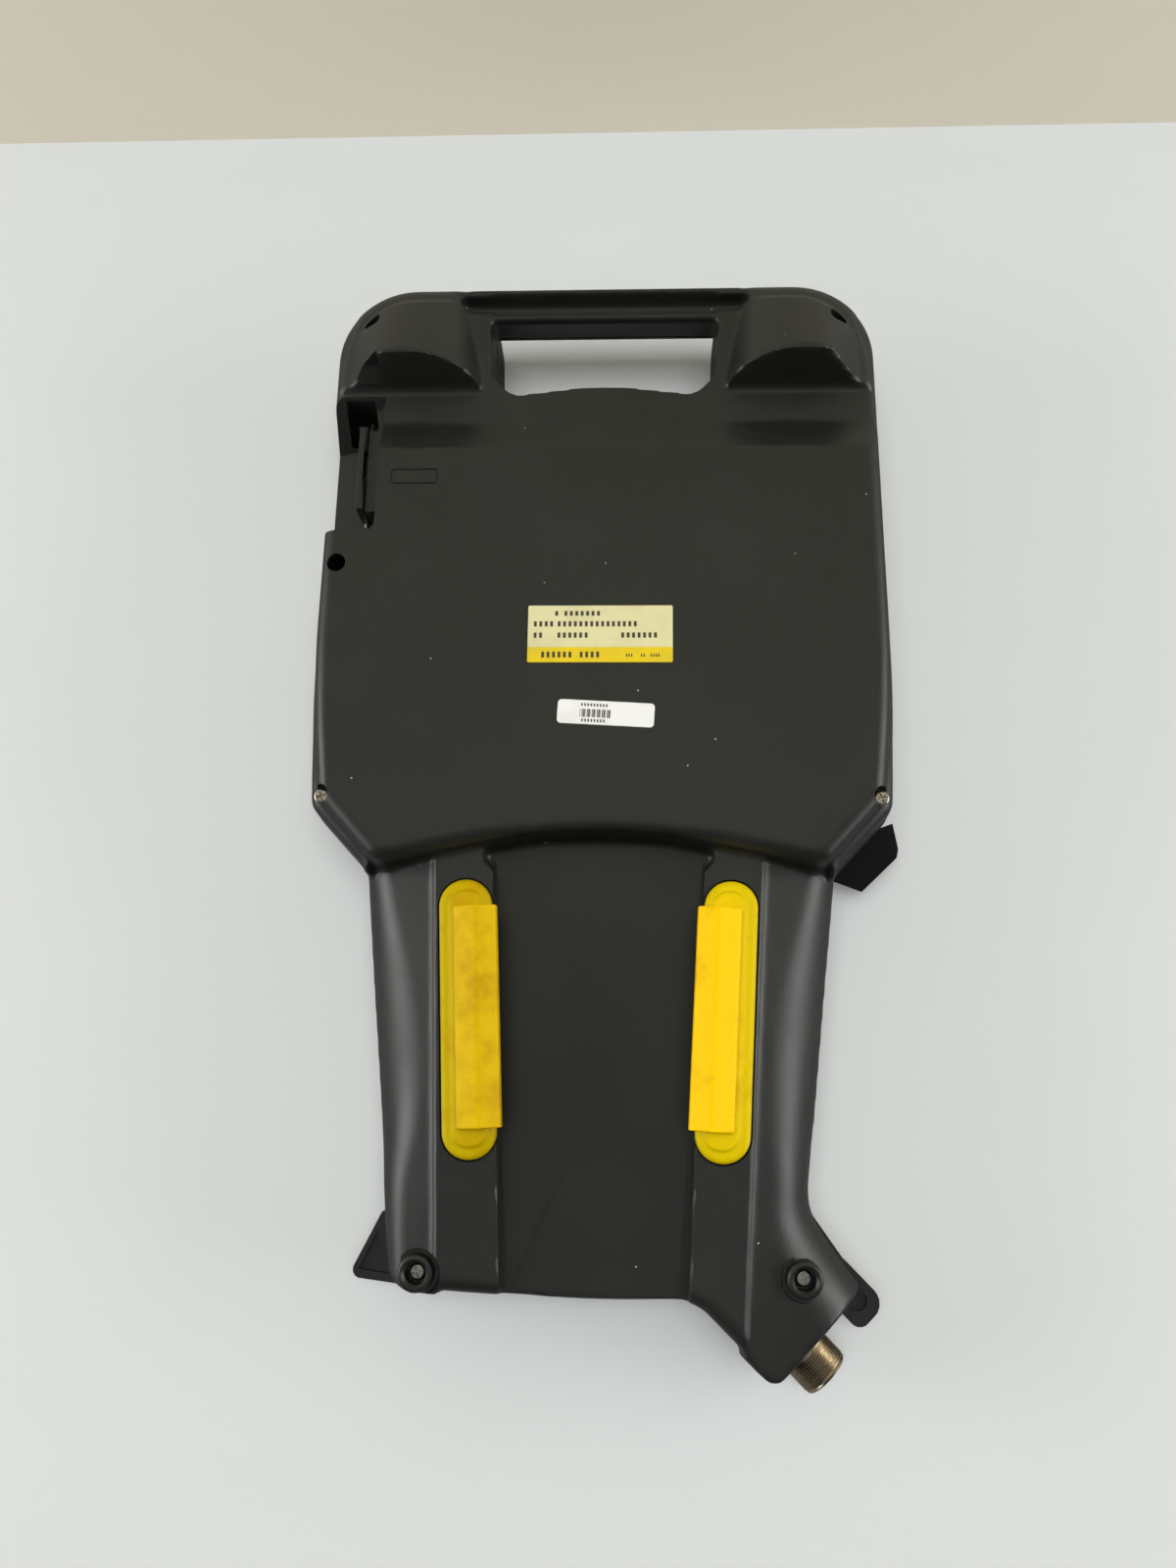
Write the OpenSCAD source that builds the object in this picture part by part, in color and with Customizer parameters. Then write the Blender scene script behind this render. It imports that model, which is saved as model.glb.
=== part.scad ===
// Hand-held teach pendant, lying on its front with the rear cover up.
// +Z is the rear side, +Y runs towards the carrying handle, Z = 0 is the rim of the front cover.

/* [Case outline] */
// Half width of the case beside the display
case_half = 111.6; // [108:0.2:116]
// Half width across the two humps
head_half = 109.8; // [106:0.2:114]
// Y of the outer edge of the handle
top_y = 213; // [208:0.5:220]
// Corner radius beside the handle
head_r = 33; // [26:0.5:38]
// Y where the waist starts to narrow
waist_y = -8; // [-12:0.5:-4]
// Half width of the grips at their upper end
grip_half = 87.6; // [84:0.2:91]
// Half width of the grips at their lower end
heel_half = 73; // [71:0.2:77]
// Y of the lower edge of the case
heel_y = -177; // [-182:0.5:-172]
// Distance of the cable outlet face from the origin along the 45 degree diagonal
flare_face = 188; // [184:0.5:192]

/* [Case heights] */
// Height where the two covers meet
parting_z = 30; // [28:0.5:32]
// Height of the rails beside the levers
rail_z = 52; // [50:0.5:54]
// Height of the flat back behind the display
plate_z = 60; // [58:0.5:62]
// Height of the crest of the humps
crest_z = 74; // [71:0.5:76]
// Height of the trough between the rails
trough_z = 42; // [39:0.5:44]
// Depth of the keypad and window face below the rim
face_depth = 3; // [2:0.25:4]
// Wall thickness of both covers
wall = 3; // [2.5:0.1:3.4]

/* [Handle] */
// Half width of the hand opening
hand_half = 47.5; // [44:0.5:49]
// Y of the lower edge of the hand opening
hand_y = 164; // [162:0.5:168]
// Y of the ridge on the handle bar
bar_y = 196; // [194:0.5:199]
// Height of the underside of the handle bar
bar_z = 22; // [18:0.5:24]

/* [Enabling levers] */
// Length of the lever boot
boot_len = 98.4; // [90:0.2:104]
// Width of the lever boot
boot_w = 19.3; // [18:0.1:20]
// Distance of the lever centre from the centre line
lever_x = 46.2; // [45:0.1:48]
// Y of the lever centre
lever_y = -85; // [-88:0.5:-82]
// Angle between a lever and the centre line
lever_tilt = 3; // [2:0.25:4]
// Length of the raised finger bar
bar_len = 76; // [70:0.5:80]
// Height of the ridge of the finger bar
bar_top = 66.5; // [64:0.25:68]

/* [Front] */
// Width of the display window
window_w = 146; // [140:0.5:150]
// Height of the display window
window_h = 112; // [106:0.5:114]
// Distance of the stop button and the selector from the centre line
control_x = 77; // [75:0.5:79]
// Y of the stop button and the selector
control_y = 181; // [179:0.5:183]
// Radius of the stop button head
stop_r = 16; // [14:0.25:17]
// Push travel of the stop button
stop_travel = 4; // [2:0.25:4]
// Radius of the selector knob
knob_r = 11; // [9:0.25:12]
// Pitch of the keys across the keypad
key_pitch_x = 17.5; // [16:0.25:20]
// Pitch of the keys along the keypad
key_pitch_y = 15.2; // [14:0.25:18]

/* [Cable outlet] */
// Radius of the connector barrel
conn_r = 9.3; // [8:0.1:10]
// Height of the connector axis
conn_z = 18; // [17:0.25:19]
// Length of the barrel outside its flange
conn_len = 15; // [10:0.1:16]
// Width of the square connector flange
flange_w = 23; // [22:0.25:24]

/* [Fasteners and fits] */
// Radius of a case screw thread
screw_r = 1.5; // [1.4:0.05:1.6]
// Radius of a case screw head
screw_head_r = 2.9; // [2.6:0.05:3.2]
// Radius of the recess above a case screw
screw_well_r = 3.6; // [3.4:0.05:3.9]
// Radial running clearance of pins and shafts
fit = 0.05; // [0.03:0.01:0.08]
// Gap between parts that only lie beside each other
gap = 0.3; // [0.2:0.05:0.4]

/* [Hidden] */
$fn = 48;

// Draft of the case walls, as an inset at each height
foot_inset = 2.5;
foot_z = 2;
draft = 1;
shoulder_z = rail_z - 8;
cavity_z = face_depth + wall;
bar_rim = rail_z - 0.4;

// Places along the 45 degree diagonal that the cable outlet is square to
function at45(s, t) = [(s + t) / sqrt(2), (t - s) / sqrt(2)];

// Case outline, clockwise from the upper left corner: x, y, corner radius
waist_half = case_half - 2.2;
neck_y = heel_y + 27;
neck_half = heel_half + 1.2;
grip_y = waist_y - (waist_half - grip_half) - 1.5;
mid_y = 40;
flare_tip = at45(flare_face, -102);
flare_side = at45(flare_face, -58.5);
flare_in = [34, heel_y - 2.5];
CASE = [[-head_half, top_y, head_r], [head_half, top_y, head_r], [case_half, mid_y, 400],
        [waist_half, waist_y, 7], [grip_half, grip_y, 8], [neck_half, neck_y, 12],
        [flare_side.x, flare_side.y, 5], [flare_tip.x, flare_tip.y, 4], [flare_in.x, flare_in.y, 12],
        [0, heel_y - 3.5, 300], [3 - heel_half, heel_y, 9], [-neck_half, neck_y, 60],
        [-grip_half, grip_y, 8], [-waist_half, waist_y, 7], [-case_half, mid_y, 400]];

// The back plate behind the display stands on the case outline down to the grips
plate_end = grip_y + 7;
PLATE = [[-head_half, top_y, head_r], [head_half, top_y, head_r], [case_half, mid_y, 400],
         [waist_half - 0.4, waist_y + 0.6, 7], [grip_half - 2, plate_end - 7, 9],
         [44.4, plate_end, 10], [-44.4, plate_end, 10],
         [2 - grip_half, plate_end - 7, 9], [0.4 - waist_half, waist_y + 0.6, 7], [-case_half, mid_y, 400]];

// Outline of the two humps, and how far their outer edge draws in as it rolls over: height, inset
HEAD = [[-head_half, top_y, head_r], [head_half, top_y, head_r], [case_half, 110, 0], [-case_half, 110, 0]];
HUMP_EDGE = [[parting_z + 1, 0], [shoulder_z, 0], [shoulder_z + 3.5, 0.7], [shoulder_z + 6.5, 2.4],
             [shoulder_z + 9, 5.6], [shoulder_z + 10.5, 9.5], [crest_z + 1, 24]];
// Hand opening: a shallow wave along its lower edge
HAND = [[-hand_half, top_y + 9, 0], [hand_half, top_y + 9, 0], [hand_half - 2, hand_y + 7, 5],
        [hand_half - 10.5, hand_y - 2, 8], [0, hand_y + 2.6, 90],
        [10.5 - hand_half, hand_y - 2, 8], [2 - hand_half, hand_y + 7, 5]];

// Sunk face that carries the window and the keypad, and the keypad overlay on its lower part
face_half = case_half - 13.6;
face_top = 131;
FACE = [[-face_half, face_top, 6], [face_half, face_top, 6], [face_half + 2, waist_y + 3, 6],
        [grip_half - 11, grip_y + 2, 8], [heel_half - 8, heel_y + 7, 10], [8 - heel_half, heel_y + 7, 10],
        [11 - grip_half, grip_y + 2, 8], [-face_half - 2, waist_y + 3, 6]];
keypad_half = face_half - 1;
keypad_top = 7;
KEYPAD = [[-keypad_half, keypad_top, 4], [keypad_half, keypad_top, 4], [keypad_half, waist_y + 2, 4],
          [grip_half - 14.5, grip_y + 2, 6], [heel_half - 12, heel_y + 11, 8],
          [12 - heel_half, heel_y + 11, 8],
          [14.5 - grip_half, grip_y + 2, 6], [-keypad_half, waist_y + 2, 4]];

// Interior of the lower half, narrower than the case so that the grips have thick walls
LOW = [[-waist_half + 12, waist_y + 12], [waist_half - 12, waist_y + 12], [grip_half - 11, grip_y + 2],
       [heel_half - 9, neck_y], [heel_half - 5, heel_y + 3.2], [5 - heel_half, heel_y + 3.2],
       [9 - heel_half, neck_y], [11 - grip_half, grip_y + 2]];

// Screws: x, y, seat height of the head
hump_screw = [93.9, 190.8, rail_z - 3];
waist_screw = [103.6, waist_y + 3, rail_z];
SCREWS = [hump_screw, [-hump_screw.x, hump_screw.y, hump_screw.z],
          waist_screw, [-waist_screw.x, waist_screw.y, waist_screw.z],
          [-102.3, 86, rail_z - 6],
          [11.6 - heel_half, heel_y + 5.3, rail_z - 8], [71.5, heel_y + 5.6, rail_z - 8]];
screw_head_h = 2.2;
screw_tip_z = 18.5;
boss_r = 5.1;
insert_r = 2.4;
insert_z = 18;
rim_boss_r = 5.6;

// Humps: a tilted barrel that ends in a half-moon face
hump_r = 30.5;
hump_tilt = 22;
hump_x = 78.5;
moon_tilt = 10;
moon_z = rail_z - 1;

// Chamfered step across the back, and the strip above it
step_y = 134;
step_run = 17;

// Recess for the data port
port_x = 91;
port_y0 = 99;
port_y1 = 157;
port_floor = parting_z + 3.2;
flap_axis = [-97.1, parting_z + 5.6];
flap_t = 2.8;
flap_top = 50;
flap_pin_r = 1;
flap_y0 = port_y0 + 1;
flap_y1 = port_y1 - 7;
usb_y = 128;
usb_z = 43;
usb_w = 13.1;
usb_h = 5.7;

// Lever mechanism, in the lever's own frame: u towards the centre line, v along the lever
hinge_u = -7.5;
hinge_z = rail_z - 7.5;
hinge_r = 1.5;
barrel_r = 3;
arm_half = 35;
stem_u0 = -4;
stem_u1 = 6;
stem_half = arm_half - 1;
slot_gap = 1.1;
boot_t = 2.6;
bar_bottom = rail_z + 5;
bar_u0 = -3.1;
bar_u1 = 12.3;
ridge_u = 5.2;
ear_t = 6;
switch_u = 0;
switch_half = 22;
switch_z0 = 22;
switch_z1 = 38;
plunger_r = 2.5;
plunger_u = 1;
plunger_travel = 0.9;
spring_v = 29;
spring_u = 2;
bracket_z = 20.4;
bracket_half = 33;
bracket_pad_z = 10;
sheet_t = 1.6;

// Stop button and selector
well_r = stop_r + 5;
stop_well_z = 15;
knob_well_r = knob_r + 5;
knob_well_z = 12;
stop_barrel_r = 11;
stop_stem_r = 7.5;
stop_back = stop_well_z - 1.6 - 1.1 - stop_travel;
stop_contact_z = 40;
spigot_r = 4.9;
knob_shaft_r = 3;
knob_barrel_r = 6;
rest_gap = 0.8;

// Display stack and boards
display_y = 70;
window_t = 1.8;
window_lip = 5.5;
window_r = 3;
frame_w = window_w + 6;
frame_h = window_h + 6;
frame_z = cavity_z + 1.6;
frame_d = 8.6;
frame_t = 1.2;
ear_x = window_w / 2 + 10;
ear_dy = window_h / 2 - 16;
board_z = 24;
board_t = 1.6;
spacer_r = 3;
stud_r = 1.25;

// Keys
key_w = key_pitch_x - 5;
key_h = key_pitch_y - 5.5;
key_rise = 0.6;
film_t = 0.5;

// Ear beside the lower edge, and lug beside the cable outlet along its diagonal
ear_z = 20;
EAR = [[6.7 + heel_half, heel_y + 22, 1], [18.3 + heel_half, heel_y - 1, 3], [heel_half - 7, heel_y - 4, 1],
       [heel_half - 7, heel_y + 22, 1]];
EAR_DIP = [[heel_half + 8, heel_y + 15.5], [heel_half + 14.5, heel_y + 1.7], [heel_half + 3.5, heel_y + 0.2]];
lug_s = flare_face + 7.5;
lug_t = -62.9;

// Connector and strap
conn_t = -88.7;
conn_screw = 8.7;
conn_seat = flare_face - 1.3;
flange_t = 2.5;
gasket_t = 0.8;
plug_bore_r = conn_r - 1.5;
strap_t = 2.6;
strap_z = 16;
strap_root = 6.5;
strap_s = (waist_half - waist_y) / sqrt(2) + 0.4;
strap_mid = (waist_half + waist_y + grip_half + grip_y) / 2 / sqrt(2) + 1.2;
strap_rivets_t = [-8, 4];
// Root of the webbing in its slot, along the diagonal and across it
function strap_foot(play, s, low, high) = [at45(strap_s - strap_root - play, strap_mid - 12 - play),
    at45(strap_s + s, strap_mid - low), at45(strap_s + s, strap_mid + high),
    at45(strap_s - strap_root - play, strap_mid + 7 + play)];
// Visible end of the webbing with its slanting cut
STRAP_END = [for (p = [[0.9, -14.5], [13, -9], [13.4, 10], [11.5, 13], [3, 19], [0.9, 14.5]])
             at45(strap_s + p.x, strap_mid + p.y)];

// ---------- Geometry helpers ----------

function unit(v) = v / norm(v);
function flat(p) = [p.x, p.y];

// Arc that rounds corner p between its neighbours a and b
function corner(a, p, b, r, n) =
    let (u = unit(a - p), v = unit(b - p), h = acos(u * v) / 2, c = p + unit(u + v) * r / sin(h),
         s = p + u * r / tan(h) - c, e = p + v * r / tan(h) - c)
    r == 0 ? [p] : [for (i = [0 : n]) c + r * unit(s * (n - i) + e * i)];

// Outline of points [x, y, corner radius] with every corner rounded
function rounded(pts, n = 6) =
    let (k = len(pts))
    [for (i = [0 : k - 1]) each corner(flat(pts[(i + k - 1) % k]), flat(pts[i]), flat(pts[(i + 1) % k]),
        pts[i].z, n)];

// A clockwise outline moved inwards by d
function inset(pts, d) =
    let (k = len(pts))
    [for (i = [0 : k - 1])
        let (a = unit(pts[i] - pts[(i + k - 1) % k]), b = unit(pts[(i + 1) % k] - pts[i]), m = a + b)
        pts[i] + 2 * d / (m * m) * [m.y, -m.x]];

function rect(w, h, r) = [[-w / 2, h / 2, r], [w / 2, h / 2, r], [w / 2, -h / 2, r], [-w / 2, -h / 2, r]];

// Solid through rings of [z, clockwise outline] with equal point counts, cut flat at its two ends
module stack(rings) {
    n = len(rings);
    all = concat([[rings[0][0] - 1, rings[0][1]]], rings, [[rings[n - 1][0] + 1, rings[n - 1][1]]]);
    k = len(rings[0][1]);
    intersection() {
        polyhedron(
            points = [for (ring = all) for (p = ring[1]) [p.x, p.y, ring[0]]],
            faces = [[for (i = [k - 1 : -1 : 0]) i],
                     for (j = [0 : n]) for (i = [0 : k - 1])
                         [j * k + i, j * k + i + k, j * k + (i + 1) % k + k, j * k + (i + 1) % k],
                     [for (i = [0 : k - 1]) (n + 1) * k + i]]);
        block(-300, 300, -300, 300, rings[0][0], rings[n - 1][0]);
    }
}

module slab(z0, z1, pts) translate([0, 0, z0]) linear_extrude(z1 - z0) polygon(pts);
module block(x0, x1, y0, y1, z0, z1) translate([x0, y0, z0]) cube([x1 - x0, y1 - y0, z1 - z0]);
module rod(r, z0, z1) translate([0, 0, z0]) cylinder(r = r, h = z1 - z0);
module tube(r, r_in, z0, z1) difference() { rod(r, z0, z1); rod(r_in, z0 - 1, z1 + 1); }
module along_x(x0, x1) translate([x0, 0, 0]) rotate([90, 0, 90]) linear_extrude(x1 - x0) children();
module along_y(y0, y1) translate([0, y1, 0]) rotate([90, 0, 0]) linear_extrude(y1 - y0) children();
module both_sides() for (side = [0, 1]) mirror([side, 0, 0]) children();
module at_screws() for (s = SCREWS) translate([s.x, s.y, 0]) children();

// Lever frame on the left (side = 0) or the right (side = 1)
module at_lever(side)
    mirror([side, 0, 0]) translate([-lever_x, lever_y, 0]) rotate(lever_tilt) children();
// +Z leaves the seat of the connector along its axis
module at_connector()
    translate([at45(conn_seat, conn_t).x, at45(conn_seat, conn_t).y, conn_z]) rotate([0, 90, -45]) children();
module at_stop() translate([-control_x, control_y, 0]) children();
module at_knob() translate([control_x, control_y, 0]) children();

// ---------- Covers ----------

case_pts = rounded(CASE);
plate_pts = rounded(PLATE, 5);
// Outline that cuts the humps off just inside the case wall
hump_pts = inset(rounded(HEAD, 9), 0.5);
hand_pts = rounded(HAND);

// Tilted barrel of one hump, upright sides, ended by the half-moon face
module hump(r, setback) intersection() {
    translate([hump_x, hand_y, crest_z - hump_r]) rotate([90 - hump_tilt, 0, 0]) mirror([0, 0, 1])
        translate([0, 0, -40]) cylinder(r = r, h = 110, $fn = 96);
    translate([hump_x, hand_y + setback, moon_z]) rotate([-moon_tilt, 0, 0])
        block(-hump_r - 4, hump_r + 4, 0, 60, -25, 40);
    stack([for (ring = HUMP_EDGE) [ring[0], inset(hump_pts, ring[1] + setback)]]);
}

// Section of the handle bar: rounded underside, ridge, groove and outer rim
module handle_bar(z0, z1) intersection() {
    along_x(-hand_half - 8.2, hand_half + 8.2)
        polygon(rounded([[top_y + 0.5, shoulder_z, 8], [top_y - 1, bar_z + 4, 4], [top_y - 5, bar_z, 3],
                         [top_y - 9.5, bar_z + 5, 4], [bar_y, bar_rim - 2, 1], [bar_y + 1, bar_rim, 0.8],
                         [bar_y + 3, bar_rim, 0.8], [bar_y + 4.5, bar_rim - 7, 1.5],
                         [top_y - 6, bar_rim - 7, 1.5],
                         [top_y - 4, bar_rim, 0.8], [top_y - 2, bar_rim, 1.6]], 4));
    block(-200, 200, 0, 300, z0, z1);
}

module rear_outer() {
    stack([[parting_z, inset(case_pts, -draft)], [shoulder_z, case_pts], [rail_z - 3, inset(case_pts, 1.4)],
           [rail_z - 0.8, inset(case_pts, 3.2)], [rail_z, inset(case_pts, 5.2)]]);
    difference() {
        stack([[shoulder_z - 4, inset(plate_pts, 0.3)], [plate_z - 6, inset(plate_pts, 1.6)],
               [plate_z - 2, inset(plate_pts, 3.4)], [plate_z - 0.5, inset(plate_pts, 5.5)],
               [plate_z, inset(plate_pts, 8.5)]]);
        along_x(-case_half, case_half)
            polygon([[step_y, plate_z], [step_y + step_run, moon_z], [top_y + 9, moon_z],
                     [top_y + 9, crest_z], [step_y, crest_z]]);
    }
    both_sides() hump(hump_r, 0);
}

// Everything hollow inside the rear cover
module rear_cavity() {
    difference() {
        slab(parting_z - 1, plate_z - wall, inset(case_pts, wall));
        block(-200, 200, -300, plate_end + 3, 0, 100);
        block(-200, 200, hand_y - 5, 300, 0, 100);
        along_x(-200, 200)
            polygon([[step_y - wall, plate_z], [step_y - wall, plate_z - wall],
                     [step_y - wall + step_run, moon_z - wall], [300, moon_z - wall], [300, plate_z]]);
        block(-200, wall - port_x, port_y0 - wall, port_y1 + wall, 0, 100);
    }
    slab(parting_z - 1, trough_z - wall, LOW);
    both_sides() slab(parting_z - 1, rail_z - wall,
        [[-lever_x - 14.8, grip_y], [4.6 - lever_x, grip_y], [10.2 - lever_x, heel_y + 14],
         [-lever_x - 9.3, heel_y + 14]]);
    slab(parting_z - 1, trough_z - wall, [at45(flare_face - 4, conn_t - 9.6), [35, heel_y + 8],
         [neck_half - 9, neck_y], at45(flare_face - 4, conn_t + 10.4)]);
    both_sides() {
        slab(parting_z - 1, moon_z - wall,
            [[hand_half + wall + 1, hand_y + 4], [hand_half + wall + 1, top_y - 16],
             [head_half - 20, top_y - 9], [head_half - 8, top_y - 22], [head_half - 5, hand_y + 4]]);
        hump(hump_r - wall, wall);
    }
}

// Finger scoop along a grip
module grip_scoop() both_sides() hull() {
    translate([72.7, grip_y - 4, rail_z + 12]) sphere(r = 16.5, $fn = 32);
    translate([67, heel_y + 12, rail_z + 12]) sphere(r = 16.5, $fn = 32);
}

module lever_ears() for (side = [0, 1]) at_lever(side) for (end = [-1, 1])
    translate([0, end * (arm_half + gap + ear_t / 2), 0]) difference() {
        block(hinge_u - barrel_r, hinge_u + barrel_r, -ear_t / 2, ear_t / 2, hinge_z - barrel_r, rail_z - 1);
        translate([hinge_u, 0, hinge_z]) rotate([90, 0, 0])
            cylinder(r = hinge_r, h = ear_t + 1, center = true);
    }

module rear_cover() color("#33352f") {
    difference() {
        union() {
            difference() {
                rear_outer();
                slab(0, 100, hand_pts);
                // trough between the rails
                slab(trough_z, 100, [[-44.4, plate_end - 0.5], [44.4, plate_end - 0.5], [38, grip_y - 1],
                                     [31, heel_y - 9], [-31, heel_y - 9], [-38, grip_y - 1]]);
                grip_scoop();
                // recess for the data port with its sloping floor
                along_y(port_y0, port_y1) polygon([[-port_x, port_floor], [-port_x, plate_z - 12],
                    [3 - port_x, plate_z - 9], [3 - port_x, 100], [-200, 100], [-200, parting_z + 1],
                    [-case_half - 2, parting_z + 1], [-port_x - 10, port_floor]]);
                rear_cavity();
            }
            // bosses that stand in the scoops
            for (i = [5, 6]) translate([SCREWS[i].x, SCREWS[i].y, 0]) rod(rim_boss_r, parting_z, rail_z - 1);
            // screw columns inside
            intersection() {
                at_screws() rod(boss_r, parting_z, plate_z - 1);
                rear_outer();
            }
            handle_bar(parting_z, 100);
            lever_ears();
        }
        for (s = SCREWS) translate([s.x, s.y, 0]) {
            rod(screw_well_r, s.z, 100);
            rod(screw_r + 0.4, 0, 100);
        }
        // slots for the lever stems
        for (side = [0, 1]) at_lever(side)
            block(stem_u0 - slot_gap, stem_u1 + slot_gap, -stem_half - slot_gap, stem_half + slot_gap,
                trough_z, 80);
        // window for the data socket
        block(-port_x - 1, -80, usb_y - usb_w / 2 - 1, usb_y + usb_w / 2 + 1,
              usb_z - usb_h / 2 - 1, usb_z + usb_h / 2 + 1);
        // seats of the flap pin
        translate([flap_axis.x, port_y0 - 1.5, flap_axis.y]) rotate([-90, 0, 0])
            cylinder(r = flap_pin_r, h = port_y1 - port_y0 + 3);
        // engraved frame beside the port
        translate([-73.5, 122, plate_z - 0.5]) difference() {
            slab(0, 5, rounded(rect(18.6, 6.6, 1.5), 3));
            slab(-1, 6, rounded(rect(17.2, 5.2, 0.9), 3));
        }
    }
}

module front_outer() {
    difference() {
        union() {
            stack([[0, inset(case_pts, foot_inset)], [foot_z, inset(case_pts, 1)],
                   [parting_z, inset(case_pts, -draft)]]);
            mirror([1, 0, 0]) slab(ear_z - 6, ear_z, rounded(EAR, 5));
            slab(ear_z - 8, ear_z,
                [for (p = rounded([[-7, -12, 0.5], [-7, 8, 4], [7, 8, 6], [7, -12, 0.5]], 5))
                                    at45(lug_s + p.y, lug_t + p.x)]);
            // rib between the connector and the lug
            slab(8, 16, [at45(flare_face - 4, conn_t + 12.4), at45(flare_face + 3, conn_t + 12.4),
                         at45(flare_face + 3, lug_t - 3), at45(flare_face - 4, lug_t - 3)]);
        }
        slab(-1, 100, hand_pts);
        // shallow recesses in the ear and the lug
        mirror([1, 0, 0]) slab(ear_z - 1.4, parting_z, EAR_DIP);
        translate([at45(lug_s, lug_t).x, at45(lug_s, lug_t).y, 0]) rod(3.6, ear_z - 1.4, parting_z);
        // flat seat of the cable connector
        at_connector() block(-11.7, 11.7, -11.7, 11.7, 0, 6);
    }
    handle_bar(0, parting_z);
}

module front_cavity() {
    difference() {
        slab(cavity_z, parting_z + 1, inset(case_pts, wall));
        block(-200, 200, -300, grip_y + 18, 0, 100);
        block(-200, 200, hand_y - 5, 300, 0, 100);
    }
    slab(cavity_z, parting_z + 1, LOW);
    slab(cavity_z, parting_z + 1, [at45(flare_face - wall, conn_t - 9.6), [35, heel_y + 6],
         [neck_half - 9, neck_y], at45(flare_face - wall, conn_t + 10.4)]);
    both_sides() slab(cavity_z, parting_z + 1,
        [[hand_half + wall + 1, hand_y + 4], [hand_half + wall + 1, top_y - 16],
         [head_half - 20, top_y - 7], [head_half - 6, top_y - 20], [head_half - 4, hand_y + 4]]);
}

module front_cover() color("#2b2c29") {
    difference() {
        union() {
            difference() {
                front_outer();
                front_cavity();
                // face for the window and the keypad, inside the rim
                slab(-1, face_depth, rounded(FACE));
            }
            intersection() {
                at_screws() rod(boss_r, face_depth, parting_z);
                front_outer();
            }
            at_stop() rod(well_r + wall, 0, stop_well_z + wall);
            at_knob() rod(knob_well_r + wall, 0, knob_well_z + wall);
            for (x = [-ear_x, ear_x], y = [-ear_dy, ear_dy]) translate([x, display_y + y, 0])
                rod(4, face_depth + 1, frame_z + frame_d - frame_t);
            for (side = [0, 1], end = [-1, 1]) at_lever(side)
                translate([0, end * (bracket_half - 4), 0])
                    block(-10, 10, -4, 4, face_depth + 1, bracket_pad_z);
            // block around the root of the hand strap
            slab(8, parting_z, [at45(strap_s - 9, strap_mid - 14), at45(strap_s - 2.5, strap_mid - 15),
                                at45(strap_s - 2.5, strap_mid + 10), at45(strap_s - 9, strap_mid + 14)]);
        }
        at_stop() {
            rod(well_r, -1, stop_well_z);
            rod(stop_barrel_r + 0.1, 0, 40);
        }
        at_knob() {
            rod(knob_well_r, -1, knob_well_z);
            rod(knob_barrel_r + 0.1, 0, 40);
        }
        at_screws() rod(insert_r, insert_z, parting_z + 1);
        // window seat and view
        translate([0, display_y, 0]) {
            slab(-1, face_depth + window_t + 0.2, rounded(rect(window_w + 0.4, window_h + 0.4, window_r)));
            slab(-1, 20, rounded(rect(window_w - 2 * window_lip, window_h - 2 * window_lip, 2)));
        }
        for (x = [-ear_x, ear_x], y = [-ear_dy, ear_dy]) translate([x, display_y + y, 0])
            rod(stud_r + fit, cavity_z, 30);
        for (side = [0, 1], end = [-1, 1], u = [-6, 6]) at_lever(side)
            translate([u, end * (bracket_half - 4), 0]) rod(stud_r, face_depth + 1.5, 20);
        // cable outlet
        at_connector() {
            rod(conn_r, -20, 1);
            for (x = [-conn_screw, conn_screw], y = [-conn_screw, conn_screw]) translate([x, y, 0])
                rod(stud_r, -2.5, 1);
        }
        // slot for the hand strap and its rivets
        slab(strap_z - 0.2, strap_z + strap_t + 0.2, strap_foot(0.2, 4, 16.2, 20));
        for (t = strap_rivets_t) translate(at45(strap_s - 4, strap_mid + t)) rod(stud_r, 9, parting_z + 1);
        // groove of the case seal
        seal_ring(parting_z - 1.6, parting_z + 1, 0);
    }
}

// The seal runs round the case and down round the hand opening
module parting_face(margin) difference() {
    polygon(inset(case_pts, margin));
    polygon(inset(hand_pts, -margin));
}
module seal_ring(z0, z1, play) translate([0, 0, z0]) linear_extrude(z1 - z0) difference() {
    parting_face(1.5 + play);
    parting_face(2.5 - play);
}

module case_seal() color("#17181a") seal_ring(parting_z - 1.6, parting_z, 0.05);

module case_screws() color("#b9b3a6") for (s = SCREWS) translate([s.x, s.y, 0]) difference() {
    union() {
        rod(screw_head_r, s.z, s.z + screw_head_h);
        rod(screw_r, screw_tip_z, s.z + 1);
    }
    for (a = [0, 90]) rotate(a) block(-2, 2, -0.35, 0.35, s.z + screw_head_h - 1.1, s.z + 9);
}

module thread_inserts() color("#b08d45") at_screws() tube(insert_r, screw_r, insert_z, parting_z - 1);

// ---------- Labels ----------

module name_plate() color("#e6dfa8") translate([0, 56.5, 0])
    slab(plate_z, plate_z + 0.4, rounded(rect(54.6, 22.6, 0.6), 2));

module asset_sticker() color("#f4f4f2") translate([2.4, 25.4, 0]) rotate(-3)
    slab(plate_z, plate_z + 0.15, rounded(rect(36, 9.2, 1.5), 4));

// ---------- Data port ----------

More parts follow.
